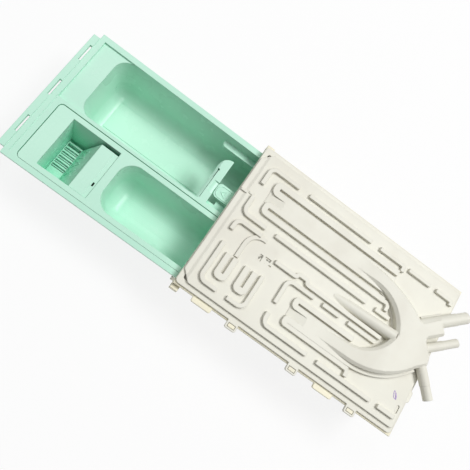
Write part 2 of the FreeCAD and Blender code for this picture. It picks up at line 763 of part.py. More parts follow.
def manifold_plan(left_start, right_start, roots):
    """Plan outline of both ducts, the hub and the blocks that carry the nozzles."""
    left_root, left_way = roots[0]
    centre_root, centre_way = roots[1]
    right_root, right_way = roots[2]
    corners = [
        ((HUB_X - LEFT_DUCT_INSIDE, left_start), 0),
        ((HUB_X - LEFT_DUCT_INSIDE, HUB_Y - LEFT_INSIDE_CORNER), LEFT_INSIDE_BEND),
        ((HUB_X - VALLEY_SHIFT, HUB_Y - VALLEY_AHEAD), HUB_SOFT),
        ((HUB_X + RIGHT_DUCT_INSIDE, HUB_Y - RIGHT_INSIDE_CORNER), RIGHT_INSIDE_BEND),
        ((HUB_X + RIGHT_DUCT_INSIDE, right_start), 0),
        ((HUB_X + RIGHT_DUCT_OUTSIDE, right_start), 0),
        ((HUB_X + RIGHT_DUCT_OUTSIDE, HUB_Y - RIGHT_OUTSIDE_CORNER), RIGHT_OUTSIDE_BEND),
        (beside(right_root, right_way, RIGHT_BLOCK, RIGHT_BLOCK_RIGHT), HUB_SOFT),
        (beside(right_root, right_way, RIGHT_BLOCK, -RIGHT_BLOCK_LEFT), HUB_SOFT),
        (beside(centre_root, centre_way, CENTRE_BLOCK, CENTRE_BLOCK_SIDE), HUB_SOFT),
        (beside(centre_root, centre_way, CENTRE_BLOCK, -CENTRE_BLOCK_SIDE), HUB_SOFT),
        (beside(left_root, left_way, LEFT_BLOCK, LEFT_BLOCK_RIGHT), HUB_SOFT),
        (beside(left_root, left_way, LEFT_BLOCK, -LEFT_BLOCK_LEFT), HUB_SOFT),
        ((HUB_X - ARMPIT_SHIFT, HUB_Y - ARMPIT_AHEAD), HUB_SOFT),
        ((HUB_X - LEFT_DUCT_OUTSIDE, HUB_Y - LEFT_OUTSIDE_CORNER), LEFT_OUTSIDE_BEND),
        ((HUB_X - LEFT_DUCT_OUTSIDE, left_start), 0),
    ]
    return outline([corner[0] for corner in corners], [corner[1] for corner in corners])


def softened(solid):
    """Solid with the upper edges of its roof bevelled; lines across the roof stay smooth."""
    upper = []
    for edge in solid.Edges:
        bounds = edge.BoundBox
        across_roof = bounds.YLength < 1e-6 and bounds.YMin < HUB_Y
        if bounds.ZMin > COVER_Z + RIB_HEIGHT - 0.01 and not across_roof:
            upper.append(edge)
    return solid.makeChamfer(ROOF_CHAMFER, upper)


def distributor_cover():
    """Upper half of the lid: ribs, hairpins, ramped ducts, hub and hose nozzles."""
    left = LEFT + COVER_INSET
    right = RIGHT - COVER_INSET
    front = FRONT + COVER_FRONT_INSET
    rear = REAR - COVER_REAR_INSET
    step_y = from_front(STEP_DEPTH)
    plan = [
        (left + COVER_CHAMFER, front),
        (right - COVER_CHAMFER, front),
        (right, front + COVER_CHAMFER),
        (right, rear),
        (left, rear),
        (left, front + COVER_CHAMFER),
    ]
    soft = LID_CORNER - FLANGE_REACH
    face = outline(plan, [soft, soft, soft, soft, soft, soft])
    plate = raised(face, LID_TOP, COVER_Z)
    room = raised(
        rounded_rectangle(
            left + SHOWER_WALL,
            right - SHOWER_WALL,
            front + COVER_CHAMFER,
            rear - SHOWER_WALL,
            soft,
            soft,
        ),
        LID_TOP,
        PLATE_Z,
    )
    step_side = [
        V(left, front, COVER_Z - STEP_DROP),
        V(left, step_y, COVER_Z - STEP_DROP),
        V(left, step_y + STEP_RUN, COVER_Z),
        V(left, front, COVER_Z),
    ]
    step = Part.Face(Part.makePolygon(step_side + step_side[:1])).extrude(V(right - left, 0, 0))
    plate = plate.cut(room).cut(step)

    left_rib = from_left(LEFT_RIB)
    main_rib = from_left(MAIN_RIB)
    middle_rib = from_left(MIDDLE_RIB)
    spine_rib = from_left(SPINE_RIB)
    prewash_rib = from_right(PREWASH_RIB)
    right_rib = from_right(RIGHT_RIB)
    front_rib = from_front(FRONT_RIB)
    prewash_front = from_front(PREWASH_FRONT)
    jog = RIB_WIDTH - 0.4
    ribs = [
        rib([(left_rib + 25, front_rib), (left_rib, front_rib), (left_rib, from_front(59.7))]),
        rib([(left_rib, from_front(75)), (left_rib, from_front(170))]),
        rib([(left_rib, from_front(184)), (left_rib, from_front(221)), (left_rib + 8, from_front(221))], 3.0),
        rib([(left_rib, from_front(229)), (left_rib, from_front(262))]),
        rib([(left_rib, from_front(272)), (left_rib, from_rear(10)), (left_rib + 6, from_rear(10))], 3.0),
        rib([(main_rib - 23, front_rib), (main_rib, front_rib), (main_rib, from_front(52))]),
        rib([(main_rib, from_front(66.5)), (main_rib, from_front(201))]),
        rib([(main_rib, from_front(215)), (main_rib, from_front(236))]),
        rib([(middle_rib + 15, front_rib), (middle_rib, front_rib), (middle_rib, from_front(53))]),
        rib(
            [
                (spine_rib, from_front(83)),
                (spine_rib, from_front(113)),
                (spine_rib - jog, from_front(114.5)),
                (spine_rib - jog, from_front(127)),
                (spine_rib, from_front(128.5)),
                (spine_rib, from_front(238)),
            ],
            2.6,
        ),
        rib(
            [
                (prewash_rib + 32, prewash_front),
                (prewash_rib, prewash_front),
                (prewash_rib, from_front(144)),
            ]
        ),
        rib([(prewash_rib, from_front(157)), (prewash_rib, from_front(181))]),
        rib([(prewash_rib, from_front(194)), (prewash_rib, from_front(234))]),
        rib([(right_rib - 14, prewash_front), (right_rib, prewash_front), (right_rib, from_front(170))]),
        rib([(right_rib, from_front(184.5)), (right_rib, from_front(262))]),
        rib([(right_rib, from_front(273)), (right_rib, from_rear(9))]),
        rib([(right_rib - 51, front_rib + 1.5), (right_rib, front_rib + 1.5), (right_rib, from_front(44))]),
        rib([(right_rib, from_front(58)), (right_rib, from_front(79.8)), (right_rib - 44, from_front(79.8))]),
        rib(
            [
                (from_left(74.5), from_front(212)),
                (from_left(74.5), from_front(226.5)),
                (main_rib - RIB_WIDTH, from_front(226.5)),
            ],
            4.0,
        ),
        rib(
            [
                (from_right(31), from_front(212)),
                (from_right(31), from_front(221)),
                (right_rib - RIB_WIDTH, from_front(221)),
            ],
            4.0,
        ),
        hairpin(from_left(39.7), 9.6, 3.4, from_front(33), from_front(219), 8.0),
        hairpin(from_left(68.5), 8.9, 3.9, from_front(34.5), from_front(219), 7.0),
        hairpin(from_right(59.6), 7.6, 2.6, from_front(125), from_front(209), 7.0),
        hairpin(from_right(35.2), 6.5, 2.6, from_front(125), from_front(221), 7.0),
        finger(from_right(28.3), from_right(60), from_front(38), 8.4, 3.6, 8.0),
        finger(from_right(28.3), from_right(60), from_front(65), 8.8, 3.6, 8.0),
    ]
    end_rib = RIB_HEIGHT / 2
    arch = ribbon(
        [
            (middle_rib + 1.5, from_front(62)),
            (middle_rib + 1.5, from_front(41.5)),
            (from_right(62), from_front(41.5)),
        ],
        RIB_WIDTH / 2,
        RIB_WIDTH / 2,
        18.0,
    )
    ribs.append(raised(arch, PLATE_Z, COVER_Z + end_rib))

    nozzle_z = COVER_Z + NOZZLE_RISE
    left_way = heading(-NOZZLE_ANGLE)
    right_way = heading(RIGHT_NOZZLE_ANGLE)
    centre_root = V(HUB_X, HUB_Y, nozzle_z)
    left_root = centre_root - left_way[1] * NOZZLE_SPACING
    right_root = centre_root - right_way[1] * RIGHT_NOZZLE_SHIFT
    roots = [(left_root, left_way), (centre_root, left_way), (right_root, right_way)]
    left_start = from_front(LEFT_DUCT_START)
    right_start = from_front(RIGHT_DUCT_START)
    plan_face = manifold_plan(left_start, right_start, roots)
    far = REAR + LID_CORNER
    low_roof = [(left_start, RIB_HEIGHT), (far, RIB_HEIGHT)]
    high_roof = [
        (left_start, RIB_HEIGHT),
        (HUB_Y - RISE_AHEAD, RIB_HEIGHT),
        (CREST_Y, HUB_HEIGHT),
        (far, HUB_HEIGHT),
    ]
    ramps = [
        ramp_cut(HUB_X - LEFT_DUCT_OUTSIDE, HUB_X - LEFT_DUCT_INSIDE, left_start, LEFT_DUCT_RAMP),
        ramp_cut(HUB_X + RIGHT_DUCT_INSIDE, HUB_X + RIGHT_DUCT_OUTSIDE, right_start, RIGHT_DUCT_RAMP),
    ]
    raised_ducts = softened(ramped(plan_face, high_roof, ROOF_BEND, PLATE_Z, 0))
    duct_base = ramped(plan_face, low_roof, 0, PLATE_Z, 0)
    manifold = fused(raised_ducts, [duct_base]).cut(ramps)
    left_foot = ribbon(
        [
            (HUB_X - LEFT_DUCT_INSIDE, HUB_Y - RISE_AHEAD),
            (HUB_X - LEFT_DUCT_INSIDE, HUB_Y - LEFT_INSIDE_CORNER),
            (HUB_X - VALLEY_SHIFT, HUB_Y - VALLEY_AHEAD),
        ],
        DUCT_WALL,
        LEFT_DUCT_FOOT,
        LEFT_INSIDE_BEND,
    )
    right_foot = ribbon(
        [
            (HUB_X + RIGHT_DUCT_OUTSIDE, right_start),
            (HUB_X + RIGHT_DUCT_OUTSIDE, HUB_Y - RIGHT_OUTSIDE_CORNER),
            beside(right_root, right_way, RIGHT_BLOCK, RIGHT_BLOCK_RIGHT),
        ],
        DUCT_WALL,
        RIGHT_DUCT_FOOT,
        RIGHT_OUTSIDE_BEND,
    )
    conduit_ledge = ribbon(
        [beside(left_root, left_way, along, -CONDUIT_LEDGE_SHIFT) for along in CONDUIT_LEDGE],
        CONDUIT_LEDGE_WIDTH / 2,
        CONDUIT_LEDGE_WIDTH / 2,
        0,
    )
    ducts = [
        manifold,
        spine_duct(SPINE_RADIUS),
        raised(left_foot, PLATE_Z, COVER_Z + RIB_HEIGHT / 2),
        raised(right_foot, PLATE_Z, COVER_Z + RIB_HEIGHT),
        raised(conduit_ledge, PLATE_Z, COVER_Z + CONDUIT_LEDGE_HEIGHT),
    ]
    room_face = Part.Face(plan_face.OuterWire.makeOffset2D(-DUCT_WALL))
    duct_room = ramped(room_face, high_roof, ROOF_BEND, PLATE_Z, DUCT_ROOF)
    solid_fronts = [
        box(LEFT, HUB_X, left_start, left_start + LEFT_DUCT_RAMP, PLATE_Z, COVER_Z + HUB_HEIGHT),
        box(HUB_X, RIGHT, right_start, right_start + RIGHT_DUCT_RAMP, PLATE_Z, COVER_Z + HUB_HEIGHT),
    ]
    rooms = [duct_room.cut(solid_fronts), spine_duct(SPINE_RADIUS - DUCT_WALL)]

    nozzles = [
        (roots[0], LEFT_NOZZLE, LEFT_NOZZLE_REACH, LEFT_HOSE_SEAT),
        (roots[1], CENTRE_NOZZLE, CENTRE_NOZZLE_REACH, CENTRE_HOSE_SEAT),
        (roots[2], RIGHT_NOZZLE, RIGHT_NOZZLE_REACH, RIGHT_HOSE_SEAT),
    ]
    tubes = []
    bores = []
    for (root, way), diameter, reach, seat in nozzles:
        tubes.append(Part.makeCylinder(diameter / 2 + NOZZLE_SHOULDER, reach - seat, root, way[0]))
        tubes.append(Part.makeCylinder(diameter / 2, reach, root, way[0]))
        bores.append(Part.makeCylinder(diameter / 2 - NOZZLE_WALL, reach, root, way[0]))
    nubs = [raised(mark_plan(mark, 0), PLATE_Z, COVER_Z + NUB_HEIGHT) for mark in NUBS]
    slits = [raised(mark_plan(mark, 0), COVER_Z - SLIT_DEPTH, COVER_Z) for mark in SLITS]
    recess = mark_plan(RECESS, RECESS_SOFT)
    slits.append(raised(recess, COVER_Z - SLIT_DEPTH, COVER_Z))
    cover = fused(plate.cut(slits), ribs + ducts + nubs + tubes)
    return cover.cut(rooms + bores).removeSplitter()


def drawer_body():
    """Drawer frame with the main wash compartment, bridge and lever seat."""
    rim_low = RIM_Z - RIM_THICKNESS
    rim = box(-HALF_DRAWER, HALF_DRAWER, along_drawer(FRONT_STRIP), DRAWER_REAR, rim_low, RIM_Z)
    strip = box(
        -HALF_DRAWER + STRIP_INSET,
        HALF_DRAWER - STRIP_INSET,
        DRAWER_FRONT,
        along_drawer(FRONT_STRIP),
        rim_low,
        RIM_Z,
    )
    bottom = RIM_Z - DRAWER_DEPTH
    cavity_rear = DRAWER_REAR - REAR_BAR
    main_front = along_drawer(MAIN_START)
    shell = tub_shell(
        MAIN_LEFT - DRAWER_WALL,
        MAIN_RIGHT + DRAWER_WALL,
        main_front - DRAWER_WALL,
        DRAWER_REAR - DRAWER_WALL,
        RIM_Z,
        bottom,
        MAIN_TAPER,
        MAIN_FRONT_TAPER,
        MAIN_ROUND,
    )
    cavity = tub_room(
        MAIN_LEFT,
        MAIN_RIGHT,
        main_front,
        cavity_rear,
        RIM_Z,
        bottom + DRAWER_WALL,
        MAIN_TAPER,
        MAIN_FRONT_TAPER,
        MAIN_ROUND,
    )
    frame = fused(rim, [strip, shell])
    shelf = box(
        MAIN_LEFT, MAIN_RIGHT, along_drawer(SHELF_START), main_front + MAIN_ROUND, RIM_Z - SHELF_DROP, RIM_Z
    )
    seat = outline(
        [
            (INSERT_LEFT - INSERT_GAP, along_drawer(INSERT_START) - INSERT_GAP),
            (INSERT_RIGHT + RAIL_GAP, along_drawer(INSERT_START) - INSERT_GAP),
            (INSERT_RIGHT + RAIL_GAP, INSERT_REAR + INSERT_GAP),
            (INSERT_LEFT - INSERT_GAP, INSERT_REAR + INSERT_GAP),
        ],
        [INSERT_CORNER + INSERT_GAP, INSERT_CORNER + INSERT_GAP, 0, 0],
    )
    seat_cut = raised(seat, RIM_Z - INSERT_FLANGE, RIM_Z)
    opening = box(
        INSERT_LEFT + INSERT_LEDGE,
        INSERT_RIGHT - INSERT_LEDGE,
        WELL_FRONT - INSERT_WALL - TUB_CLEARANCE,
        INSERT_REAR - INSERT_LEDGE,
        rim_low - DRAWER_DEPTH,
        RIM_Z,
    )
    outlet = box(
        MAIN_LEFT + MAIN_TAPER + MAIN_ROUND,
        MAIN_RIGHT - MAIN_TAPER - MAIN_ROUND,
        cavity_rear - DRAWER_WALL,
        DRAWER_REAR,
        bottom + DRAWER_WALL,
        bottom + DRAWER_DEPTH / 2,
    )
    slots = []
    for index in (-1, 0, 1):
        middle = index * CLIP_SLOT_PITCH - CLIP_SLOT_SHIFT
        slots.append(
            box(
                middle - CLIP_SLOT_LENGTH / 2,
                middle + CLIP_SLOT_LENGTH / 2,
                along_drawer(CLIP_SLOT_BACK) - CLIP_SLOT_WIDTH / 2,
                along_drawer(CLIP_SLOT_BACK) + CLIP_SLOT_WIDTH / 2,
                rim_low,
                RIM_Z,
            )
        )
    frame = frame.cut([cavity, shelf, seat_cut, opening, outlet] + slots)

    bridge_rear = BAFFLE_Y + BRIDGE_DEPTH
    bridge_left = MAIN_RIGHT - BRIDGE_REACH
    wall_right = MAIN_RIGHT + DRAWER_WALL / 2
    bridge = raised(
        outline(
            [
                (bridge_left, bridge_rear),
                (bridge_left, BAFFLE_Y),
                (wall_right, BAFFLE_Y),
                (wall_right, bridge_rear),
            ],
            [0, BRIDGE_CORNER, 0, 0],
        ),
        RIM_Z - BRIDGE_PLATE,
        RIM_Z,
    )
    slot_y = BAFFLE_Y + GATE_SLOT_BACK
    walls = box(
        bridge_left + BRIDGE_CORNER,
        wall_right,
        slot_y - GATE_WALL,
        slot_y + GATE_SLOT + GATE_WALL,
        RIM_Z - GATE_DROP,
        RIM_Z,
    )
    gate_slot = box(
        MAIN_RIGHT - GATE_SLOT_REACH,
        MAIN_RIGHT - GATE_WALL,
        slot_y,
        slot_y + GATE_SLOT,
        RIM_Z - GATE_DROP,
        RIM_Z,
    )
    gate_key = box(
        MAIN_RIGHT - GATE_SLOT_REACH,
        MAIN_RIGHT - GATE_SLOT_REACH + GATE_KEY,
        slot_y + GATE_SLOT / 2 - GATE_KEY / 2,
        slot_y + GATE_SLOT / 2 + GATE_KEY / 2,
        RIM_Z - BRIDGE_PLATE,
        RIM_Z,
    )
    lip_side = [
        V(bridge_left, BAFFLE_Y, RIM_Z - BRIDGE_LIP_DROP),
        V(bridge_left, BAFFLE_Y + BRIDGE_LIP_RUN, RIM_Z),
        V(bridge_left, BAFFLE_Y, RIM_Z),
    ]
    lip_cut = Part.Face(Part.makePolygon(lip_side + lip_side[:1])).extrude(V(BRIDGE_REACH, 0, 0))
    scoop = Part.makeCylinder(
        SCOOP_RADIUS,
        LEVER_WIDTH - LEVER_THICKNESS,
        V(LEVER_LEFT + LEVER_THICKNESS / 2, bridge_rear, RIM_Z + SCOOP_RADIUS - SCOOP_DEPTH),
        V(1, 0, 0),
    )
    pocket_left = LEVER_RIGHT + LEVER_GAP
    pocket_z = RIM_Z - POCKET_DROP
    deck = box(
        pocket_left, wall_right, bridge_rear - DRAWER_WALL, cavity_rear, pocket_z - BRIDGE_PLATE, RIM_Z
    )
    lever_cut = box(
        LEVER_LEFT - LEVER_GAP,
        LEVER_RIGHT + LEVER_GAP,
        LEVER_FRONT - LEVER_GAP,
        cavity_rear,
        RIM_Z - DRAWER_DEPTH / 2,
        RIM_Z,
    )
    pocket = box(
        pocket_left, MAIN_RIGHT - POCKET_SIDE, bridge_rear, LEVER_PIVOT_Y - EAR_DEPTH, pocket_z, RIM_Z
    )
    hollow = box(
        pocket_left,
        pocket_left + POCKET_HOLLOW,
        bridge_rear,
        bridge_rear + POCKET_HOLLOW_LENGTH,
        pocket_z - BRIDGE_PLATE,
        RIM_Z,
    )
    ears = []
    for start in (LEVER_LEFT - LEVER_GAP - EAR_WIDTH, pocket_left):
        ear = box(
            start,
            start + EAR_WIDTH,
            LEVER_PIVOT_Y - EAR_DEPTH / 2,
            cavity_rear + REAR_BAR / 2,
            LEVER_PIVOT_Z - EAR_DEPTH / 2,
            RIM_Z - BRIDGE_PLATE / 2,
        )
        ears.append(ear)
    pin_hole = Part.makeCylinder(
        LEVER_PIN / 2 + PIN_CLEARANCE,
        LEVER_WIDTH + 2 * (LEVER_GAP + LEVER_PIN_LENGTH) + LEVER_GAP,
        V(LEVER_LEFT - LEVER_GAP - LEVER_PIN_LENGTH - LEVER_GAP / 2, LEVER_PIVOT_Y, LEVER_PIVOT_Z),
        V(1, 0, 0),
    )
    ledge_top = RIM_Z - SIDE_LEDGE_DROP
    ledge = raised(
        outline(
            [
                (MAIN_LEFT - DRAWER_WALL / 2, DRAWER_REAR - SIDE_LEDGE_LENGTH),
                (MAIN_LEFT + SIDE_LEDGE_WIDTH, DRAWER_REAR - SIDE_LEDGE_LENGTH),
                (MAIN_LEFT + SIDE_LEDGE_WIDTH, cavity_rear + REAR_BAR / 2),
                (MAIN_LEFT - DRAWER_WALL / 2, cavity_rear + REAR_BAR / 2),
            ],
            [0, SIDE_LEDGE_WIDTH * 0.6, 0, 0],
        ),
        ledge_top - SIDE_LEDGE_HEIGHT,
        ledge_top,
    )
    floor_pad = box(
        MAIN_LEFT + FLOOR_PAD_SIDE,
        MAIN_RIGHT - FLOOR_PAD_SIDE,
        main_front + FLOOR_PAD_FRONT,
        cavity_rear,
        bottom + DRAWER_WALL / 2,
        bottom + DRAWER_WALL + FLOOR_PAD,
    )
    deck_parts = bridge.multiFuse([walls, deck])
    deck_parts = deck_parts.cut([gate_slot, gate_key, lip_cut, scoop, lever_cut, pocket, hollow])
    body = fused(frame, [deck_parts, ledge, floor_pad] + ears)
    return body.cut(pin_hole)


def release_lever():
    """Press lever at the drawer's rear, with pins, front lip and stop catch."""
    top = raised(
        outline(
            [
                (LEVER_LEFT, LEVER_PIVOT_Y + LEVER_BARREL / 2),
                (LEVER_LEFT, LEVER_FRONT),
                (LEVER_RIGHT, LEVER_FRONT),
                (LEVER_RIGHT, LEVER_PIVOT_Y + LEVER_BARREL / 2),
            ],
            [0, LEVER_CORNER, LEVER_CORNER, 0],
        ),
        RIM_Z - LEVER_THICKNESS,
        RIM_Z,
    )
    lip = box(
        LEVER_LEFT + LEVER_CORNER,
        LEVER_RIGHT - LEVER_CORNER,
        LEVER_FRONT,
        LEVER_FRONT + LEVER_THICKNESS * 0.7,
        RIM_Z - LEVER_LIP,
        RIM_Z,
    )
    barrel = Part.makeCylinder(
        LEVER_BARREL / 2, LEVER_WIDTH, V(LEVER_LEFT, LEVER_PIVOT_Y, LEVER_PIVOT_Z), V(1, 0, 0)
    )
    web = box(
        LEVER_LEFT,
        LEVER_RIGHT,
        LEVER_PIVOT_Y - LEVER_BARREL / 2,
        LEVER_PIVOT_Y + LEVER_BARREL / 2,
        LEVER_PIVOT_Z,
        RIM_Z - LEVER_THICKNESS,
    )
    pin_reach = LEVER_GAP + LEVER_PIN_LENGTH
    pin = Part.makeCylinder(
        LEVER_PIN / 2,
        LEVER_WIDTH + 2 * pin_reach,
        V(LEVER_LEFT - pin_reach, LEVER_PIVOT_Y, LEVER_PIVOT_Z),
        V(1, 0, 0),
    )
    catch_front = FRONT + LINTEL_DEPTH + CATCH_GAP
    catch_face = [
        V(LEVER_LEFT + LEVER_CORNER, catch_front, RIM_Z - LEVER_THICKNESS / 2),
        V(LEVER_LEFT + LEVER_CORNER, catch_front, LINTEL_Z + CATCH_OVERLAP),
        V(LEVER_LEFT + LEVER_CORNER, catch_front + CATCH_LENGTH / 3, LINTEL_Z + CATCH_OVERLAP),
        V(LEVER_LEFT + LEVER_CORNER, catch_front + CATCH_LENGTH * 2, RIM_Z - LEVER_THICKNESS / 2),
    ]
    catch = Part.Face(Part.makePolygon(catch_face + catch_face[:1])).extrude(
        V(LEVER_WIDTH - 2 * LEVER_CORNER, 0, 0)
    )
    return fused(top, [lip, barrel, web, pin, catch])


def well_room(left_gap, side_gap):
    """Inside of the softener well, drawn in by a gap on its left and a gap on its other sides."""
    return frustum(
        WELL_LEFT + left_gap,
        WELL_RIGHT - side_gap,
        WELL_FRONT + side_gap,
        WELL_REAR - side_gap,
        RIM_Z,
        RIM_Z - WELL_DEPTH,
        WELL_LEFT_TAPER,
        0,
        WELL_FRONT_TAPER,
    )


def insert_tray():
    """Lift-out tray on the drawer's right: softener well with siphon pipe, and prewash compartment."""
    flange_low = RIM_Z - INSERT_FLANGE
    flange = raised(
        rounded_rectangle(
            INSERT_LEFT, INSERT_RIGHT, along_drawer(INSERT_START), INSERT_REAR, INSERT_CORNER, 0
        ),
        flange_low,
        RIM_Z,
    )
    well_low = RIM_Z - WELL_DEPTH
    well_outer = frustum(
        WELL_LEFT - INSERT_WALL,
        WELL_RIGHT + INSERT_WALL,
        WELL_FRONT - INSERT_WALL,
        WELL_REAR + INSERT_WALL,
        RIM_Z,
        well_low - INSERT_WALL,
        WELL_LEFT_TAPER,
        0,
        WELL_FRONT_TAPER,
    )
    well_inner = well_room(0, 0)
    prewash_rear = INSERT_REAR - INSERT_LEDGE - TUB_CLEARANCE
    prewash_low = RIM_Z - PREWASH_DEPTH
    prewash_outer = tub_shell(
        WELL_LEFT - INSERT_WALL,
        WELL_RIGHT + INSERT_WALL,
        PREWASH_FRONT_EDGE - INSERT_WALL,
        prewash_rear,
        RIM_Z,
        prewash_low - INSERT_WALL,
        PREWASH_TAPER,
        PREWASH_TAPER,
        PREWASH_ROUND,
    )
    prewash_inner = tub_room(
        WELL_LEFT,
        WELL_RIGHT,
        PREWASH_FRONT_EDGE,
        prewash_rear - INSERT_WALL,
        RIM_Z,
        prewash_low,
        PREWASH_TAPER,
        PREWASH_TAPER,
        PREWASH_ROUND,
    )
    outlet = box(
        WELL_LEFT + PREWASH_TAPER + PREWASH_ROUND,
        WELL_RIGHT - PREWASH_TAPER - PREWASH_ROUND,
        prewash_rear - 2 * INSERT_WALL,
        prewash_rear,
        prewash_low,
        prewash_low + PREWASH_DEPTH / 2,
    )
    tray = fused(flange, [well_outer, prewash_outer]).cut([well_inner, prewash_inner, outlet])
    pipe_x = (WELL_LEFT + COVER_LEFT_GAP + WELL_RIGHT) / 2
    pipe_y = WELL_REAR - COVER_CAP_LENGTH / 2
    pipe = Part.makeCylinder(SIPHON_OUTER / 2, SIPHON_HEIGHT, V(pipe_x, pipe_y, well_low))
    bore = Part.makeCylinder(
        SIPHON_INNER / 2, SIPHON_HEIGHT + INSERT_WALL, V(pipe_x, pipe_y, well_low - INSERT_WALL)
    )
    return tray.fuse(pipe).cut(bore).removeSplitter()


def softener_cover():
    """Lift-out softener cover: flat cap, slope and grating bent from one sheet form, with siphon sleeve."""
    left = WELL_LEFT + COVER_LEFT_GAP
    right = WELL_RIGHT - COVER_SIDE_GAP
    front = WELL_FRONT + COVER_SIDE_GAP
    rear = WELL_REAR - COVER_SIDE_GAP
    cap_z = RIM_Z - COVER_CAP_DROP
    grate_z = RIM_Z - GRATING_DROP
    cap_front = rear - COVER_CAP_LENGTH
    slope_foot = cap_front - COVER_SLOPE_RUN
    profile = [
        V(left, front, grate_z),
        V(left, slope_foot, grate_z),
        V(left, cap_front, cap_z),
        V(left, rear, cap_z),
        V(left, rear, cap_z - COVER_SKIRT),
        V(left, rear - COVER_SHEET, cap_z - COVER_SKIRT),
        V(left, rear - COVER_SHEET, cap_z - COVER_SHEET),
        V(left, cap_front + COVER_SHEET * 0.6, cap_z - COVER_SHEET),
        V(left, slope_foot + COVER_SHEET * 0.6, grate_z - COVER_SHEET),
        V(left, front, grate_z - COVER_SHEET),
    ]
    sheet = Part.Face(Part.makePolygon(profile + profile[:1])).extrude(V(right - left, 0, 0))
    well_low = RIM_Z - WELL_DEPTH
    pipe_x = (WELL_LEFT + COVER_LEFT_GAP + WELL_RIGHT) / 2
    pipe_y = WELL_REAR - COVER_CAP_LENGTH / 2
    sleeve = Part.makeCylinder(
        CAP_SLEEVE / 2, cap_z - COVER_SHEET / 2 - well_low, V(pipe_x, pipe_y, well_low)
    )
    sleeve_room = Part.makeCylinder(
        CAP_SLEEVE / 2 - COVER_SHEET / 2, cap_z - COVER_SHEET - well_low, V(pipe_x, pipe_y, well_low)
    )
    inlet = box(
        pipe_x - CAP_SLEEVE, pipe_x + CAP_SLEEVE, pipe_y - COVER_SHEET, pipe_y + COVER_SHEET,
        well_low, well_low + COVER_SHEET * 2,
    )
    slots = []
    ribs = []
    slot_front = WELL_FRONT + GRATING_FRONT_MARGIN
    slot_rear = slope_foot - GRATING_REAR_MARGIN
    grate_low = grate_z - COVER_SHEET
    for index in range(GRATING_SLOTS):
        start = left + GRATING_LEAD + index * GRATING_PITCH
        slots.append(box(start, start + GRATING_SLOT, slot_front, slot_rear, grate_low, grate_z))
        if index > 0:
            middle = start + GRATING_SLOT / 2
            ribs.append(
                box(
                    middle - GRATING_RIB / 2,
                    middle + GRATING_RIB / 2,
                    front,
                    slope_foot + COVER_SHEET,
                    grate_low - COVER_SHEET,
                    grate_low,
                )
            )
    strip = box(left, right, rear - CAP_STRIP, rear, cap_z - CAP_STRIP_DROP, cap_z)
    hole_x = right - CAP_HOLE_FROM_RIGHT
    hole = box(
        hole_x - CAP_HOLE_LENGTH / 2,
        hole_x + CAP_HOLE_LENGTH / 2,
        rear - COVER_SHEET - CAP_HOLE_WIDTH,
        rear - COVER_SHEET,
        cap_z - COVER_SHEET,
        cap_z,
    )
    cover = sheet.multiFuse([sleeve] + ribs).cut([sleeve_room, inlet, strip, hole] + slots)
    return cover.common(well_room(COVER_LEFT_GAP, COVER_SIDE_GAP)).removeSplitter()


def main():
    os.makedirs("parts", exist_ok=True)
    export(housing(), "housing")
    export(shower_plate(), "shower_plate")
    export(distributor_cover(), "distributor_cover")
    export(drawer_body(), "drawer_body")
    export(release_lever(), "release_lever")
    export(insert_tray(), "insert_tray")
    export(softener_cover(), "softener_cover")


main()
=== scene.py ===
"""Finishes, small marks and stage for a detergent dispenser with its drawer pulled out."""
import math

import bmesh
import bpy
from bpy.props import FloatProperty, FloatVectorProperty, PointerProperty
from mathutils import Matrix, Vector


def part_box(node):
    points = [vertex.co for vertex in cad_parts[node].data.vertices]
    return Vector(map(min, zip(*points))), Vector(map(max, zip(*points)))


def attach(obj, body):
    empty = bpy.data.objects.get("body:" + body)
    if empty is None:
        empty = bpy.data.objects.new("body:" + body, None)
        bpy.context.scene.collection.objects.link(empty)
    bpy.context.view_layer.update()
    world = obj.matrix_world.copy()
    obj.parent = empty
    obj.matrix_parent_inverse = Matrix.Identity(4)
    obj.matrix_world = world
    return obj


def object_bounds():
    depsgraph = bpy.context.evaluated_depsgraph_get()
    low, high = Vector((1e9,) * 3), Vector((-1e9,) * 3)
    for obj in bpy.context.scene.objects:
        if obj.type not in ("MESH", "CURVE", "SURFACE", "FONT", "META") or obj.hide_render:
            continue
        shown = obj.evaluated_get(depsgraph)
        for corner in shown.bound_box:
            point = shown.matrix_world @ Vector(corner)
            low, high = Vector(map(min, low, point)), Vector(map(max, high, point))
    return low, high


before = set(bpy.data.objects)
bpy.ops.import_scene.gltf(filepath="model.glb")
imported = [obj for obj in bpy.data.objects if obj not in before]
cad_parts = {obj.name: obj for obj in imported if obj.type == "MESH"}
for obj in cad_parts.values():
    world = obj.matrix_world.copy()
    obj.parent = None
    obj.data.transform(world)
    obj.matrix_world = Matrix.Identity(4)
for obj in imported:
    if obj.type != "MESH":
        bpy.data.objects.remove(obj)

CAD_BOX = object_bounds()

bl_info = {
    "name": "Detergent dispenser finish",
    "version": (1, 0, 0),
    "blender": (4, 5, 0),
    "location": "View3D > Sidebar > Dispenser",
    "description": "Finishes, small marks and stage of a detergent dispenser",
    "category": "Object",
}

MILLIMETRE = 0.001
WHITE = (1.0, 1.0, 1.0, 1.0)

# A new piece is shaded smooth across edges that turn by less than this.
SMOOTH_ANGLE = math.radians(35)

# Corners of a new mesh that lie closer together than this are merged.
SAME_PLACE = 0.001 * MILLIMETRE

# Sockets of a Mix node for colours, by number because their names repeat.
MIX_FACTOR = 0
MIX_FIRST = 6
MIX_SECOND = 7
MIX_RESULT = 2

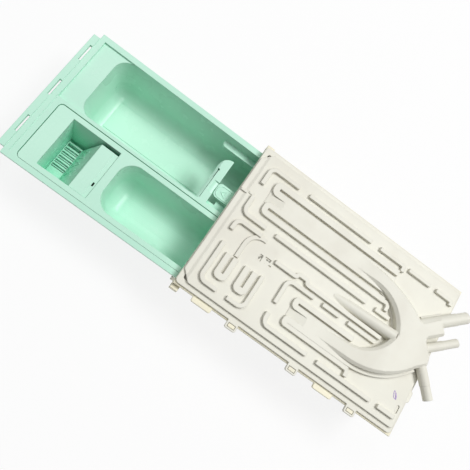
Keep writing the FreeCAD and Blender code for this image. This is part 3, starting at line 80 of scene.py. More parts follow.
# Shift of each moulding's pattern in metres, so that its neighbours don't continue its clouds.
PATTERN_SHIFT = {
    "drawer_body": (0.0, 0.0, 0.0),
    "insert_tray": (0.31, 0.12, 0.05),
    "softener_cover": (0.13, 0.41, 0.22),
    "release_lever": (0.52, 0.27, 0.11),
    "distributor_cover": (0.0, 0.0, 0.0),
    "shower_plate": (0.21, 0.33, 0.17),
    "housing": (0.44, 0.15, 0.29),
}

# How strongly the pale dried film shows on each mint moulding.
FILM_SHARE = {
    "drawer_body": 0.10,
    "insert_tray": 0.10,
    "softener_cover": 0.06,
    "release_lever": 0.06,
}

# How strongly the corners of each cream moulding darken, with dirt and with painted shade.
CORNER_DIRT_AND_SHADE_SHARE = {
    "distributor_cover": 0.7,
    "shower_plate": 0.7,
    "housing": 0.5,
}

# Places of the dark dot and of the painted shadow in the vent's openings, in millimetres.
DARK_DOTS = {
    "drawer_body": [(-67.9, -351.2, 31.6)],
}
VENT_SHADOW_SPOTS = {
    "distributor_cover": [(21.6, -88.4, 93.3), (19.2, -86.4, 93.3), (18.2, -78.6, 94.5), (18.2, -75.4, 94.5)],
}


class Wire:
    """A shader socket that takes part in arithmetic; each operation adds a Math node."""

    def __init__(self, board, socket):
        self.board = board
        self.socket = socket

    def math(self, operation, first, second):
        return self.board.node("ShaderNodeMath", {"operation": operation}, {0: first, 1: second})

    def __add__(self, other):
        return self.math("ADD", self, other)

    def __radd__(self, other):
        return self.math("ADD", other, self)

    def __sub__(self, other):
        return self.math("SUBTRACT", self, other)

    def __rsub__(self, other):
        return self.math("SUBTRACT", other, self)

    def __mul__(self, other):
        return self.math("MULTIPLY", self, other)

    def __rmul__(self, other):
        return self.math("MULTIPLY", other, self)

    def clamped(self):
        return self.board.node("ShaderNodeClamp", {}, {"Value": self, "Min": 0.0, "Max": 1.0})


class Board:
    """A node tree, with the one method that adds nodes to it."""

    def __init__(self, tree):
        self.tree = tree

    def fill(self, made, inputs):
        """Set or link a node's inputs, given by name or number."""
        for key, given in inputs.items():
            if isinstance(given, Wire):
                self.tree.links.new(given.socket, made.inputs[key])
            else:
                made.inputs[key].default_value = given

    def node(self, kind, settings, inputs, output=0):
        """Add a node, set it up, fill its inputs, and return one output, given by name or number."""
        made = self.tree.nodes.new(kind)
        for key, setting in settings.items():
            setattr(made, key, setting)
        self.fill(made, inputs)
        return Wire(self, made.outputs[output])

    def looked_at(self):
        """1 where a surface is seen directly, in gloss or through glass, and 0 where it gives light."""
        direct = self.node("ShaderNodeLightPath", {}, {}, "Is Camera Ray")
        in_gloss = self.node("ShaderNodeLightPath", {}, {}, "Is Glossy Ray")
        through_glass = self.node("ShaderNodeLightPath", {}, {}, "Is Transmission Ray")
        return (direct + in_gloss + through_glass).clamped()


class Paint(Board):
    """A procedural material and the nodes that make it."""

    def __init__(self, name):
        self.material = bpy.data.materials.new(name)
        self.material.use_nodes = True
        super().__init__(self.material.node_tree)
        self.shader = self.tree.nodes["Principled BSDF"]
        self.output = self.tree.nodes["Material Output"]

    def feed(self, **inputs):
        """Fill the main shader's inputs; an underscore in a name stands for a space."""
        self.fill(self.shader, {key.replace("_", " "): given for key, given in inputs.items()})

    def position(self):
        """Place on the piece, in metres."""
        return self.node("ShaderNodeTexCoord", {}, {}, "Object")

    def place(self, stretch=(1.0, 1.0, 1.0), shift=(0.0, 0.0, 0.0)):
        """Place on the piece, stretched and shifted."""
        return self.node(
            "ShaderNodeMapping", {}, {"Vector": self.position(), "Scale": stretch, "Location": shift}
        )

    def noise(self, where, scale, detail=2.0, roughness=0.5):
        """Cloudy pattern around 0.5; a larger scale makes finer clouds."""
        return self.node(
            "ShaderNodeTexNoise",
            {"noise_dimensions": "3D"},
            {"Vector": where, "Scale": scale, "Detail": detail, "Roughness": roughness},
        )

    def between(self, value, low, high):
        """Smooth step of a value from 0 at low to 1 at high."""
        return self.node(
            "ShaderNodeMapRange",
            {"interpolation_type": "SMOOTHSTEP", "clamp": True},
            {"Value": value, "From Min": low, "From Max": high},
        )

    def spots(self, places, radius):
        """1 at a few places on a piece, given in millimetres, fading to 0 at a radius around each."""
        full_share = 0.4
        position = self.position()
        covered = 0.0
        for place in places:
            centre = Vector(place) * MILLIMETRE
            away = self.node(
                "ShaderNodeVectorMath", {"operation": "DISTANCE"}, {0: position, 1: centre}, "Value"
            )
            covered = covered + (1.0 - self.between(away, low=radius * full_share, high=radius))
        return covered.clamped()

    def tinted(self, first, second, mask, share=1.0):
        """A first colour that turns into a second where a mask is 1, as far as the share says."""
        factor = mask if share == 1.0 else mask * share
        return self.node(
            "ShaderNodeMix",
            {"data_type": "RGBA", "blend_type": "MIX"},
            {MIX_FACTOR: factor, MIX_FIRST: first, MIX_SECOND: second},
            MIX_RESULT,
        )

    def edge_normal(self, radius):
        """Normal that rolls over sharp edges, as on moulded corners."""
        return self.node("ShaderNodeBevel", {"samples": 6}, {"Radius": radius})

    def edge_mask(self, rolled):
        """1 along the edges that the rolled normal softens, 0 on flat faces."""
        flat = self.node("ShaderNodeNewGeometry", {}, {}, "True Normal")
        facing = self.node(
            "ShaderNodeVectorMath", {"operation": "DOT_PRODUCT"}, {0: rolled, 1: flat}, "Value"
        )
        return self.between(1.0 - facing, low=0.01, high=0.2)

    def shelter(self, reach, own_walls_only=False):
        """How closed-in a point is by walls within reach: 0 in the open, 1 in a narrow pit."""
        openness = self.node(
            "ShaderNodeAmbientOcclusion",
            {"samples": 6, "only_local": own_walls_only},
            {"Distance": reach},
            "AO",
        )
        return 1.0 - openness

    def relief(self, normal, layers):
        """Bump layers, each a height and a depth in metres, stacked on a normal."""
        for height, depth in layers:
            normal = self.node(
                "ShaderNodeBump", {}, {"Strength": 1.0, "Distance": depth, "Height": height, "Normal": normal}
            )
        return normal


class Sky(Board):
    """An even world that looks white and lights the part at a strength of its own."""

    def __init__(self, name, strength):
        self.world = bpy.data.worlds.new(name)
        self.world.use_nodes = True
        super().__init__(self.world.node_tree)
        shown = strength + self.looked_at() * (1.0 - strength)
        self.fill(self.tree.nodes["Background"], {"Color": WHITE, "Strength": shown})


class DrawerFinish(bpy.types.PropertyGroup):
    """Colours and gloss of the mint mouldings"""

    colour: FloatVectorProperty(
        name="Colour", description="Mint of the drawer's mouldings", subtype="COLOR", size=4,
        default=(0.535, 0.85, 0.69, 1.0), min=0.0, max=1.0,
    )
    deep: FloatVectorProperty(
        name="Cloud colour", description="Slightly denser mint that drifts through the mouldings",
        subtype="COLOR", size=4, default=(0.495, 0.82, 0.66, 1.0), min=0.0, max=1.0,
    )
    # Painted shade: a fuller, darker mint laid into the deep places of the compartments.
    hollow_shade: FloatVectorProperty(
        name="Hollow colour", description="Fuller mint deep in the compartments", subtype="COLOR", size=4,
        default=(0.15, 0.76, 0.50, 1.0), min=0.0, max=1.0,
    )
    # Painted shade: dark green laid into the most closed-in spaces.
    pit_shade: FloatVectorProperty(
        name="Pit colour", description="Dark green of the closed-in spaces", subtype="COLOR", size=4,
        default=(0.04, 0.38, 0.22, 1.0), min=0.0, max=1.0,
    )
    # A small dark dot on the main compartment's front wall.
    speck: FloatVectorProperty(
        name="Speck colour", description="Dried drop on the main compartment's front wall", subtype="COLOR",
        size=4, default=(0.12, 0.36, 0.27, 1.0), min=0.0, max=1.0,
    )
    film: FloatVectorProperty(
        name="Film colour", description="Pale dried film in faint patches", subtype="COLOR", size=4,
        default=(0.78, 0.9, 0.85, 1.0), min=0.0, max=1.0,
    )
    # Painted highlight: paler mint along the thin edges, standing in for light through the thin plastic.
    edge: FloatVectorProperty(
        name="Edge colour", description="Paler mint along the thin edges", subtype="COLOR", size=4,
        default=(0.66, 0.93, 0.80, 1.0), min=0.0, max=1.0,
    )
    roughness: FloatProperty(
        name="Roughness", description="Roughness of the smooth moulded faces", subtype="FACTOR",
        default=0.26, min=0.0, max=1.0,
    )


class LidFinish(bpy.types.PropertyGroup):
    """Colours and gloss of the cream mouldings"""

    colour: FloatVectorProperty(
        name="Colour", description="Cream of the lid", subtype="COLOR", size=4,
        default=(0.78, 0.768, 0.68, 1.0), min=0.0, max=1.0,
    )
    stain: FloatVectorProperty(
        name="Stain colour", description="Greyer cream where the lid has been handled", subtype="COLOR",
        size=4, default=(0.745, 0.718, 0.63, 1.0), min=0.0, max=1.0,
    )
    # Painted shade and dirt: this dark colour fills the corners of the ribs, and also makes the fine specks.
    dust_and_shade: FloatVectorProperty(
        name="Dust colour", description="Dust that lies in the corners of the ribs", subtype="COLOR",
        size=4, default=(0.42, 0.38, 0.31, 1.0), min=0.0, max=1.0,
    )
    # Painted shadow: a near-black colour laid where the vent's openings show only shadow.
    vent_shade: FloatVectorProperty(
        name="Residue colour", description="Dark residue in the corners of the vent", subtype="COLOR",
        size=4, default=(0.09, 0.085, 0.06, 1.0), min=0.0, max=1.0,
    )
    edge: FloatVectorProperty(
        name="Edge colour", description="Paler cream along the rubbed edges", subtype="COLOR", size=4,
        default=(0.87, 0.85, 0.78, 1.0), min=0.0, max=1.0,
    )
    housing: FloatVectorProperty(
        name="Housing colour", description="Yellower cream of the housing", subtype="COLOR", size=4,
        default=(0.90, 0.855, 0.66, 1.0), min=0.0, max=1.0,
    )
    roughness: FloatProperty(
        name="Roughness", description="Roughness of the satin lid", subtype="FACTOR",
        default=0.46, min=0.0, max=1.0,
    )


class MarkSettings(bpy.types.PropertyGroup):
    """Sizes and colours of the small marks and beads"""

    relief: FloatProperty(
        name="Lever relief", description="How far the marks on the lever stand proud", unit="LENGTH",
        default=0.7 * MILLIMETRE, min=0.0,
    )
    ridge: FloatProperty(
        name="Ridge width", description="Width of the ridges on the lever", unit="LENGTH",
        default=1.5 * MILLIMETRE, min=0.0,
    )
    border_width: FloatProperty(
        name="Border width", description="Width of the border on the lever", unit="LENGTH",
        default=16.6 * MILLIMETRE, min=0.0,
    )
    border_length: FloatProperty(
        name="Border length", description="Length of the border on the lever", unit="LENGTH",
        default=22.0 * MILLIMETRE, min=0.0,
    )
    border_corner: FloatProperty(
        name="Border corner", description="Size of the border's rounded front corners", unit="LENGTH",
        default=6.5 * MILLIMETRE, min=0.0,
    )
    arrow_radius: FloatProperty(
        name="Arrow radius", description="Distance from the arrow's middle to its tips", unit="LENGTH",
        default=6.4 * MILLIMETRE, min=0.0,
    )
    bar_width: FloatProperty(
        name="Bar width", description="Width of the bar behind the arrow", unit="LENGTH",
        default=11.0 * MILLIMETRE, min=0.0,
    )
    bead: FloatProperty(
        name="Bead width", description="Width of the fine beads along the front strip", unit="LENGTH",
        default=0.8 * MILLIMETRE, min=0.0,
    )
    word_width: FloatProperty(
        name="Fill word width", description="Width of the fill word on the softener slope", unit="LENGTH",
        default=38.5 * MILLIMETRE, min=0.0,
    )
    word_height: FloatProperty(
        name="Fill word height", description="Height of the fill word's letters", unit="LENGTH",
        default=19.0 * MILLIMETRE, min=0.0,
    )
    word_relief: FloatProperty(
        name="Fill word relief", description="How far the fill word stands proud", unit="LENGTH",
        default=0.5 * MILLIMETRE, min=0.0,
    )
    ink: FloatVectorProperty(
        name="Ink colour", description="Marker ink on the lid", subtype="COLOR", size=4,
        default=(0.36, 0.26, 0.50, 1.0), min=0.0, max=1.0,
    )
    faded_ink: FloatVectorProperty(
        name="Faded ink colour", description="Marker ink where it has worn thin", subtype="COLOR", size=4,
        default=(0.70, 0.62, 0.78, 1.0), min=0.0, max=1.0,
    )
    ink_line: FloatProperty(
        name="Ink line", description="Width of the marker line", unit="LENGTH",
        default=1.2 * MILLIMETRE, min=0.0,
    )


class StageSettings(bpy.types.PropertyGroup):
    """Camera, lamps, sky and floor"""

    camera_place: FloatVectorProperty(
        name="Camera place", description="Where the camera stands", subtype="TRANSLATION", unit="LENGTH",
        size=3, default=(0.20699, -0.19347, 0.68257),
    )
    camera_turn: FloatVectorProperty(
        name="Camera turn", description="How the camera is turned", subtype="EULER", unit="ROTATION",
        size=3, default=(math.radians(11.431), math.radians(-13.664), math.radians(124.113)),
    )
    lens: FloatProperty(
        name="Lens", description="Focal length of the camera", subtype="DISTANCE_CAMERA",
        default=41.36, min=10.0, max=200.0,
    )
    camera_shift: FloatVectorProperty(
        name="Camera shift", description="Shift of the frame across and up, as a share of its width",
        size=2, default=(0.0347, -0.0068),
    )
    key_place: FloatVectorProperty(
        name="Key light place", description="Where the large soft lamp at the rear left hangs",
        subtype="TRANSLATION", unit="LENGTH", size=3, default=(-1.0, 1.1, 3.0),
    )
    key_size: FloatVectorProperty(
        name="Key light size", description="Width and height of the large soft lamp", unit="LENGTH",
        size=2, default=(1.8, 1.0), min=0.0,
    )
    key_power: FloatProperty(
        name="Key light", description="Power of the large soft lamp at the rear left", unit="POWER",
        default=75.0, min=0.0,
    )
    fill_place: FloatVectorProperty(
        name="Fill light place", description="Where the soft lamp at the front left hangs",
        subtype="TRANSLATION", unit="LENGTH", size=3, default=(-1.0, -1.3, 3.0),
    )
    fill_size: FloatVectorProperty(
        name="Fill light size", description="Width and height of the soft lamp", unit="LENGTH",
        size=2, default=(1.4, 1.2), min=0.0,
    )
    fill_power: FloatProperty(
        name="Fill light", description="Power of the soft lamp at the front left", unit="POWER",
        default=20.0, min=0.0,
    )
    sky: FloatProperty(
        name="Sky", description="Strength of the even light from all around", default=0.25, min=0.0,
    )
    floor_colour: FloatVectorProperty(
        name="Floor colour", description="Pale studio floor", subtype="COLOR", size=4,
        default=(0.9, 0.9, 0.9, 1.0), min=0.0, max=1.0,
    )


def deselect():
    """Deselect every object, so that an operator acts on the next new one alone."""
    bpy.ops.object.select_all(action="DESELECT")


def dress(node, paint):
    """Give a CAD node its material in every slot."""
    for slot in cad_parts[node].material_slots:
        slot.material = paint.material


def start_edit(piece, name):
    """Name a new piece and open it for editing with all of it selected."""
    piece.name = name
    bpy.ops.object.mode_set(mode="EDIT")
    bpy.ops.mesh.select_all(action="SELECT")


def flat_start(name, width, length, place):
    """Start a piece from a flat rectangle at its place, and leave it open for editing."""
    deselect()
    bpy.ops.mesh.primitive_plane_add(size=1.0, location=place)
    piece = bpy.context.object
    start_edit(piece, name)
    bpy.ops.transform.resize(value=(width, length, 1.0), center_override=place)
    return piece


def pick_corners(piece, wanted):
    """Select the corners being edited whose place passes a test."""
    bpy.ops.mesh.select_mode(type="VERT")
    bpy.ops.mesh.select_all(action="DESELECT")
    mesh = bmesh.from_edit_mesh(piece.data)
    for corner in mesh.verts:
        corner.select_set(wanted(corner.co))
    mesh.select_flush_mode()
    bmesh.update_edit_mesh(piece.data)


def raise_flat(height):
    """Raise the flat shape being edited, soften its upper edges and close the edit."""
    softened_share = 0.45
    bpy.ops.mesh.select_all(action="SELECT")
    bpy.ops.mesh.extrude_region_move(TRANSFORM_OT_translate={"value": (0.0, 0.0, height)})
    bpy.ops.mesh.bevel(offset=height * softened_share, segments=2, affect="EDGES")
    bpy.ops.mesh.select_all(action="SELECT")
    bpy.ops.mesh.normals_make_consistent(inside=False)
    bpy.ops.object.mode_set(mode="OBJECT")


def hollow_flat(width):
    """Leave only a border of the flat shape being edited."""
    bpy.ops.mesh.select_all(action="SELECT")
    bpy.ops.mesh.inset(thickness=width, depth=0.0)
    bpy.ops.mesh.delete(type="FACE")


def finish_piece(piece, body, paint):
    """Bring a piece's place into its mesh, then give it its body, slot and finish."""
    deselect()
    piece.select_set(True)
    bpy.context.view_layer.objects.active = piece
    bpy.ops.object.transform_apply(location=True, rotation=True, scale=True)
    bpy.ops.object.shade_smooth_by_angle(angle=SMOOTH_ANGLE)
    piece.data.materials.clear()
    piece.data.materials.append(paint.material)
    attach(piece, body)


def mint_paint(name, look, moulding, roll=0.7 * MILLIMETRE, dark_dots=()):
    """Glossy mint of a moulding: drifting density, painted shade that makes the mint fuller and darker in the
    deep places, a painted highlight along the thin edges, fine grain and soft sinks.
    """
    cloud_share = 0.7
    streak_share = 0.2
    compartment_depth = 60.0 * MILLIMETRE
    dark_dot_radius = 1.3 * MILLIMETRE
    sink_depth = 0.25 * MILLIMETRE
    grain_depth = 0.012 * MILLIMETRE
    cloud_roughness = 0.06
    film_roughness = 0.12

    paint = Paint(name)
    shift = PATTERN_SHIFT[moulding]
    where = paint.place(shift=shift)
    along_drawer = paint.place(stretch=(6.0, 0.5, 2.0), shift=shift)
    clouds = paint.between(paint.noise(where, scale=9.0, detail=3.0), low=0.35, high=0.7)
    streaks = paint.between(paint.noise(along_drawer, scale=40.0), low=0.5, high=0.75)
    density = (clouds * cloud_share + streaks * streak_share).clamped()
    film = paint.between(paint.noise(where, scale=60.0, detail=4.0, roughness=0.65), low=0.56, high=0.72)
    rolled = paint.edge_normal(roll)
    edges = paint.edge_mask(rolled)
    shelter = paint.shelter(compartment_depth)

    colour = paint.tinted(look.colour, look.deep, density)
    # Painted shade: the mint turns fuller and darker where walls close in.
    colour = paint.tinted(colour, look.hollow_shade, paint.between(shelter, low=0.55, high=0.95), share=0.85)
    # Painted shade: dark green where walls close in nearly all round.
    colour = paint.tinted(colour, look.pit_shade, paint.between(shelter, low=0.86, high=1.0), share=0.8)
    # Painted highlight along the edges that the rolled normal softens.
    colour = paint.tinted(colour, look.edge, edges, share=0.55)
    # A small dark dot at each listed place.
    if dark_dots:
        colour = paint.tinted(colour, look.speck, paint.spots(dark_dots, dark_dot_radius), share=0.6)
    colour = paint.tinted(colour, look.film, film, share=FILM_SHARE[moulding])

    sinks = paint.noise(where, scale=45.0, detail=1.0)
    grain = paint.noise(where, scale=1600.0)
    normal = paint.relief(rolled, [(sinks, sink_depth), (grain, grain_depth)])
    roughness = look.roughness + clouds * cloud_roughness + film * film_roughness
    paint.feed(Base_Color=colour, Roughness=roughness, Normal=normal, Specular_IOR_Level=0.32, IOR=1.49)
    return paint


def cream_paint(name, look, tone, moulding, vent_shade=()):
    """Satin cream of a moulding, with handling stains, corners darkened by dirt and painted shade, and rubbed
    edges.
    """
    stain_share = 0.45
    smudge_share = 0.2
    edge_roll = 1.4 * MILLIMETRE
    corner_reach = 4.0 * MILLIMETRE
    vent_shade_radius = 2.1 * MILLIMETRE
    sink_depth = 0.2 * MILLIMETRE
    grain_depth = 0.018 * MILLIMETRE
    stain_roughness = 0.08
    smudge_roughness = 0.06

    paint = Paint(name)
    where = paint.place(shift=PATTERN_SHIFT[moulding])
    stains = paint.between(paint.noise(where, scale=16.0, detail=5.0, roughness=0.6), low=0.42, high=0.68)
    smudges = paint.between(paint.noise(where, scale=55.0, detail=3.0, roughness=0.6), low=0.55, high=0.75)
    handled = (stains * stain_share + smudges * smudge_share).clamped()
    rolled = paint.edge_normal(edge_roll)
    edges = paint.edge_mask(rolled)
    corners = paint.between(paint.shelter(corner_reach, own_walls_only=True), low=0.25, high=0.8)
    patches = paint.noise(where, scale=90.0, detail=3.0)
    corner_dirt_and_shade = (corners * patches * CORNER_DIRT_AND_SHADE_SHARE[moulding]).clamped()
    specks = paint.between(paint.noise(where, scale=700.0, detail=1.0), low=0.74, high=0.8)

    colour = paint.tinted(tone, look.stain, handled)
    colour = paint.tinted(colour, look.edge, edges, share=0.4)
    # Painted shade and dirt: the corners turn dark in patches where walls close in; the specks below are dirt
    # alone.
    colour = paint.tinted(colour, look.dust_and_shade, corner_dirt_and_shade)
    colour = paint.tinted(colour, look.dust_and_shade, specks, share=0.25)
    # Painted shadow of the vent's openings, as dark spots at listed places.
    if vent_shade:
        colour = paint.tinted(colour, look.vent_shade, paint.spots(vent_shade, vent_shade_radius), share=0.85)

    sinks = paint.noise(where, scale=38.0, detail=1.0)
    grain = paint.noise(where, scale=1400.0)
    normal = paint.relief(rolled, [(sinks, sink_depth), (grain, grain_depth)])
    roughness = look.roughness + stains * stain_roughness + smudges * smudge_roughness
    paint.feed(Base_Color=colour, Roughness=roughness, Normal=normal, Specular_IOR_Level=0.4, IOR=1.5)
    return paint


def ink_paint(name, marks):
    """Matt marker ink that has worn thin in patches."""
    ink_roughness = 0.55
    worn_roughness = 0.2
    paint = Paint(name)
    worn = paint.between(
        paint.noise(paint.place(), scale=420.0, detail=3.0, roughness=0.6), low=0.4, high=0.7
    )
    colour = paint.tinted(marks.ink, marks.faded_ink, worn, share=0.8)
    paint.feed(Base_Color=colour, Roughness=ink_roughness + worn * worn_roughness, Specular_IOR_Level=0.3)
    return paint


class DISPENSER_OT_drawer_finish(bpy.types.Operator):
    """Paint the drawer, its insert, the softener cover and the lever in mint"""

    bl_idname = "dispenser.drawer_finish"
    bl_label = "Drawer finish"

    def execute(self, context):
        look = context.scene.drawer_finish
        for node in ("drawer_body", "insert_tray", "softener_cover", "release_lever"):
            dark_dots = DARK_DOTS.get(node, ())
            dress(node, mint_paint("mint_" + node, look, node, dark_dots=dark_dots))
        return {"FINISHED"}


class DISPENSER_OT_lid_finish(bpy.types.Operator):
    """Paint the lid's two halves and the housing in cream"""

    bl_idname = "dispenser.lid_finish"
    bl_label = "Lid and housing finish"

    def execute(self, context):
        look = context.scene.lid_finish
        tones = {
            "distributor_cover": look.colour,
            "shower_plate": look.colour,
            "housing": look.housing,
        }
        for node, tone in tones.items():
            vent_shade = VENT_SHADOW_SPOTS.get(node, ())
            dress(node, cream_paint("cream_" + node, look, tone, node, vent_shade))
        return {"FINISHED"}


class DISPENSER_OT_lever_marks(bpy.types.Operator):
    """Mould the border, the arrow and the bar onto the release lever"""

    bl_idname = "dispenser.lever_marks"
    bl_label = "Lever marks"

    def execute(self, context):
        marks = context.scene.mark_settings
        low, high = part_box("release_lever")
        middle = (low.x + high.x) / 2
        front = low.y
        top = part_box("drawer_body")[1].z
        border_inset = 1.2 * MILLIMETRE
        arrow_behind = 11.6 * MILLIMETRE
        bar_behind = 18.0 * MILLIMETRE

        border_place = Vector((middle, front + border_inset + marks.border_length / 2, top))
        border = flat_start("lever_border", marks.border_width, marks.border_length, border_place)
        # The rectangle's middle is at 0, so these are its two corners towards the front.
        pick_corners(border, lambda place: place.y < 0.0)
        bpy.ops.mesh.bevel(offset=marks.border_corner, segments=7, affect="VERTICES")
        hollow_flat(marks.ridge)
        raise_flat(marks.relief)

        # Slimmer and shorter than an even triangle, and turned to point to the front.
        arrow_shape = (0.95, -0.83, 1.0)
        arrow_ridge = marks.ridge * 0.8
        arrow_place = Vector((middle, front + arrow_behind, top))
        deselect()
        bpy.ops.mesh.primitive_circle_add(
            vertices=3, radius=marks.arrow_radius, fill_type="NGON", location=arrow_place
        )
        arrow = context.object
        start_edit(arrow, "lever_arrow")
        bpy.ops.transform.resize(value=arrow_shape, center_override=arrow_place)
        hollow_flat(arrow_ridge)
        raise_flat(marks.relief)

        bar_place = Vector((middle, front + bar_behind, top))
        bar = flat_start("lever_bar", marks.bar_width, marks.ridge, bar_place)
        raise_flat(marks.relief)

        paint = mint_paint(
            "mint_lever_marks", context.scene.drawer_finish, "release_lever", roll=0.3 * MILLIMETRE
        )
        for piece in (border, arrow, bar):
            finish_piece(piece, "lever", paint)
        return {"FINISHED"}


class DISPENSER_OT_front_beads(bpy.types.Operator):
    """Mould the two fine beads along the drawer's front strip"""

    bl_idname = "dispenser.front_beads"
    bl_label = "Front beads"

    def execute(self, context):
        marks = context.scene.mark_settings
        paint = mint_paint(
            "mint_front_beads", context.scene.drawer_finish, "drawer_body", roll=0.2 * MILLIMETRE
        )
        low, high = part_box("drawer_body")
        # Left end, right end and distance behind the drawer's front, in millimetres.
        beads = {
            "strip_bead": (-87.0, 87.0, 8.8),
            "shelf_bead": (-5.5, 87.0, 15.6),
        }
        for name, (left, right, behind) in beads.items():
            middle = (left + right) / 2 * MILLIMETRE
            place = Vector((middle, low.y + behind * MILLIMETRE, high.z))
            bead = flat_start(name, (right - left) * MILLIMETRE, marks.bead, place)
            raise_flat(marks.bead / 2)
            finish_piece(bead, "drawer", paint)
        return {"FINISHED"}


class DISPENSER_OT_fill_word(bpy.types.Operator):
    """Mould the fill word onto the softener cover's slope"""

    bl_idname = "dispenser.fill_word"
    bl_label = "Fill word"

    def execute(self, context):
        marks = context.scene.mark_settings
        stroke_thinning = 0.02 * marks.word_height
        slope = math.radians(61.7)
        slope_foot = Vector((29.0, -331.3, 39.0)) * MILLIMETRE
        above_foot = 6.0 * MILLIMETRE

        deselect()
        bpy.ops.object.text_add()
        letters = context.object.data
        letters.body = "MAX"
        letters.size = marks.word_height
        letters.extrude = marks.word_relief
        letters.offset = -stroke_thinning
        bpy.ops.object.convert(target="MESH")
        word = context.object
        low = [min(corner.co[axis] for corner in word.data.vertices) for axis in range(3)]
        high = [max(corner.co[axis] for corner in word.data.vertices) for axis in range(3)]
        wide = marks.word_width / (high[0] - low[0])
        tall = marks.word_height / (high[1] - low[1])
        start_edit(word, "fill_word")
        bpy.ops.mesh.remove_doubles(threshold=SAME_PLACE)
        bpy.ops.mesh.normals_make_consistent(inside=False)
        bpy.ops.transform.translate(value=(-low[0], -low[1], 0.0))
        bpy.ops.transform.resize(value=(wide, tall, 1.0), center_override=(0.0, 0.0, 0.0))
        bpy.ops.object.mode_set(mode="OBJECT")
        up_slope = Vector((0.0, math.cos(slope), math.sin(slope)))
        word.rotation_euler = (slope, 0.0, 0.0)
        word.location = slope_foot + up_slope * above_foot
        paint = mint_paint(
            "mint_fill_word", context.scene.drawer_finish, "softener_cover", roll=0.15 * MILLIMETRE
        )
        finish_piece(word, "drawer", paint)
        return {"FINISHED"}


class DISPENSER_OT_ink_mark(bpy.types.Operator):
    """Draw the small marker loop on the lid, with the stroke that fills one side of it"""

    bl_idname = "dispenser.ink_mark"
    bl_label = "Ink mark"

    def execute(self, context):
        marks = context.scene.mark_settings
        paint = ink_paint("marker_ink", marks)
        # Places on the lid's upper face, across and along, in millimetres.
        lid_face = 94.5
        middle = Vector((60.0, 135.2, lid_face)) * MILLIMETRE
        loop = [(54.8, 132.0), (59.5, 132.4), (65.2, 135.1), (63.5, 138.0), (58.6, 138.6)]
        stroke = [(57.2, 134.0), (58.6, 135.4), (60.6, 137.0), (62.4, 137.8), (63.6, 137.6)]
        loop_width = marks.ink_line * 0.8
        stroke_width = marks.ink_line * 1.5
        flattening = (1.0, 1.0, 0.2)
        lines = {
            "ink_loop": (loop, True, loop_width),
            "ink_stroke": (stroke, False, stroke_width),
        }
        for name, (route, closed, width) in lines.items():
            deselect()
            bpy.ops.curve.primitive_nurbs_path_add()
            curve = context.object.data
            path = curve.splines[0]
            for point, (across, along) in zip(path.points, route):
                place = Vector((across, along, lid_face)) * MILLIMETRE - middle
                point.co = (*place, 1.0)
            path.use_cyclic_u = closed
            curve.bevel_depth = width / 2
            curve.bevel_resolution = 2
            curve.use_fill_caps = True
            bpy.ops.object.convert(target="MESH")
            line = context.object
            start_edit(line, name)
            bpy.ops.mesh.remove_doubles(threshold=SAME_PLACE)
            bpy.ops.transform.resize(value=flattening, center_override=(0.0, 0.0, 0.0))
            bpy.ops.mesh.normals_make_consistent(inside=False)
            bpy.ops.object.mode_set(mode="OBJECT")
            line.location = middle
            finish_piece(line, "dispenser", paint)
        return {"FINISHED"}


def add_floor(colour, middle):
    """Lay a pale floor under the part that looks nearly white and keeps the part's shadow."""
    floor_size = 6.0
    white_share = 0.86
    deselect()
    bpy.ops.mesh.primitive_plane_add(size=floor_size, location=(middle.x, middle.y, CAD_BOX[0].z))
    floor = bpy.context.object
    floor.name = "studio_floor"
    paint = Paint("studio_floor")
    paint.feed(Base_Color=colour, Roughness=0.9, Specular_IOR_Level=0.1)
    lit = Wire(paint, paint.shader.outputs["BSDF"])
    white = paint.node("ShaderNodeEmission", {}, {"Color": WHITE, "Strength": 1.0})
    shown = paint.node("ShaderNodeMixShader", {}, {0: paint.looked_at() * white_share, 1: lit, 2: white})
    paint.fill(paint.output, {"Surface": shown})
    floor.data.materials.append(paint.material)


def add_lamp(name, place, size, power, aim):
    """Hang a soft rectangular lamp that faces a point."""
    deselect()
    turn = (aim - place).to_track_quat("-Z", "Y").to_euler()
    bpy.ops.object.light_add(type="AREA", location=place, rotation=turn)
    lamp = bpy.context.object
    lamp.name = name
    lamp.data.shape = "RECTANGLE"
    lamp.data.size = size[0]
    lamp.data.size_y = size[1]
    lamp.data.energy = power


def add_camera(scene, stage):
    """Stand the camera where the photograph was taken from."""
    deselect()
    bpy.ops.object.camera_add(location=stage.camera_place, rotation=stage.camera_turn)
    camera = bpy.context.object
    camera.name = "photo_camera"
    camera.data.sensor_width = 36.0
    camera.data.lens = stage.lens
    camera.data.shift_x = stage.camera_shift[0]
    camera.data.shift_y = stage.camera_shift[1]
    camera.data.clip_start = 10.0 * MILLIMETRE
    scene.camera = camera


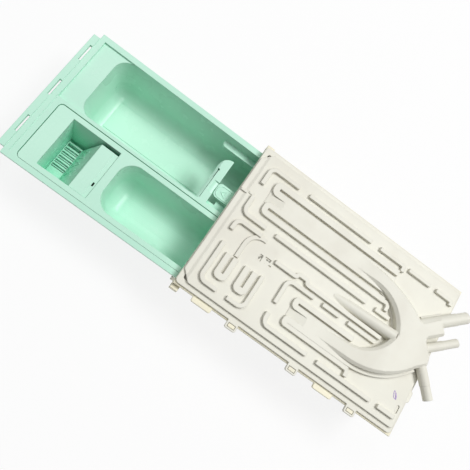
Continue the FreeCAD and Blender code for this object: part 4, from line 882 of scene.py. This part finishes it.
class DISPENSER_OT_stage(bpy.types.Operator):
    """Set up the floor, the light and the camera"""

    bl_idname = "dispenser.stage"
    bl_label = "Stage"

    def execute(self, context):
        stage = context.scene.stage_settings
        middle = Vector((0.0, -0.1, 0.05))
        add_floor(stage.floor_colour, middle)
        context.scene.world = Sky("studio_sky", stage.sky).world
        add_lamp("key_lamp", stage.key_place, stage.key_size, stage.key_power, middle)
        add_lamp("fill_lamp", stage.fill_place, stage.fill_size, stage.fill_power, middle)
        add_camera(context.scene, stage)
        context.scene.view_settings.view_transform = "Standard"
        return {"FINISHED"}


class DISPENSER_PT_panel(bpy.types.Panel):
    """Sidebar panel with the dispenser's steps"""

    bl_idname = "DISPENSER_PT_panel"
    bl_label = "Dispenser"
    bl_space_type = "VIEW_3D"
    bl_region_type = "UI"
    bl_category = "Dispenser"

    def draw(self, context):
        for operator in OPERATORS:
            self.layout.operator(operator.bl_idname)


GROUPS = {
    "drawer_finish": DrawerFinish,
    "lid_finish": LidFinish,
    "mark_settings": MarkSettings,
    "stage_settings": StageSettings,
}
OPERATORS = (
    DISPENSER_OT_drawer_finish,
    DISPENSER_OT_lid_finish,
    DISPENSER_OT_lever_marks,
    DISPENSER_OT_front_beads,
    DISPENSER_OT_fill_word,
    DISPENSER_OT_ink_mark,
    DISPENSER_OT_stage,
)


def register():
    for name, group in GROUPS.items():
        bpy.utils.register_class(group)
        setattr(bpy.types.Scene, name, PointerProperty(type=group))
    for operator in OPERATORS:
        bpy.utils.register_class(operator)
    bpy.utils.register_class(DISPENSER_PT_panel)


def unregister():
    bpy.utils.unregister_class(DISPENSER_PT_panel)
    for operator in reversed(OPERATORS):
        bpy.utils.unregister_class(operator)
    for name, group in GROUPS.items():
        delattr(bpy.types.Scene, name)
        bpy.utils.unregister_class(group)


def main():
    register()
    bpy.ops.dispenser.drawer_finish()
    bpy.ops.dispenser.lid_finish()
    bpy.ops.dispenser.lever_marks()
    bpy.ops.dispenser.front_beads()
    bpy.ops.dispenser.fill_word()
    bpy.ops.dispenser.ink_mark()
    bpy.ops.dispenser.stage()


if __name__ == "__main__":
    main()
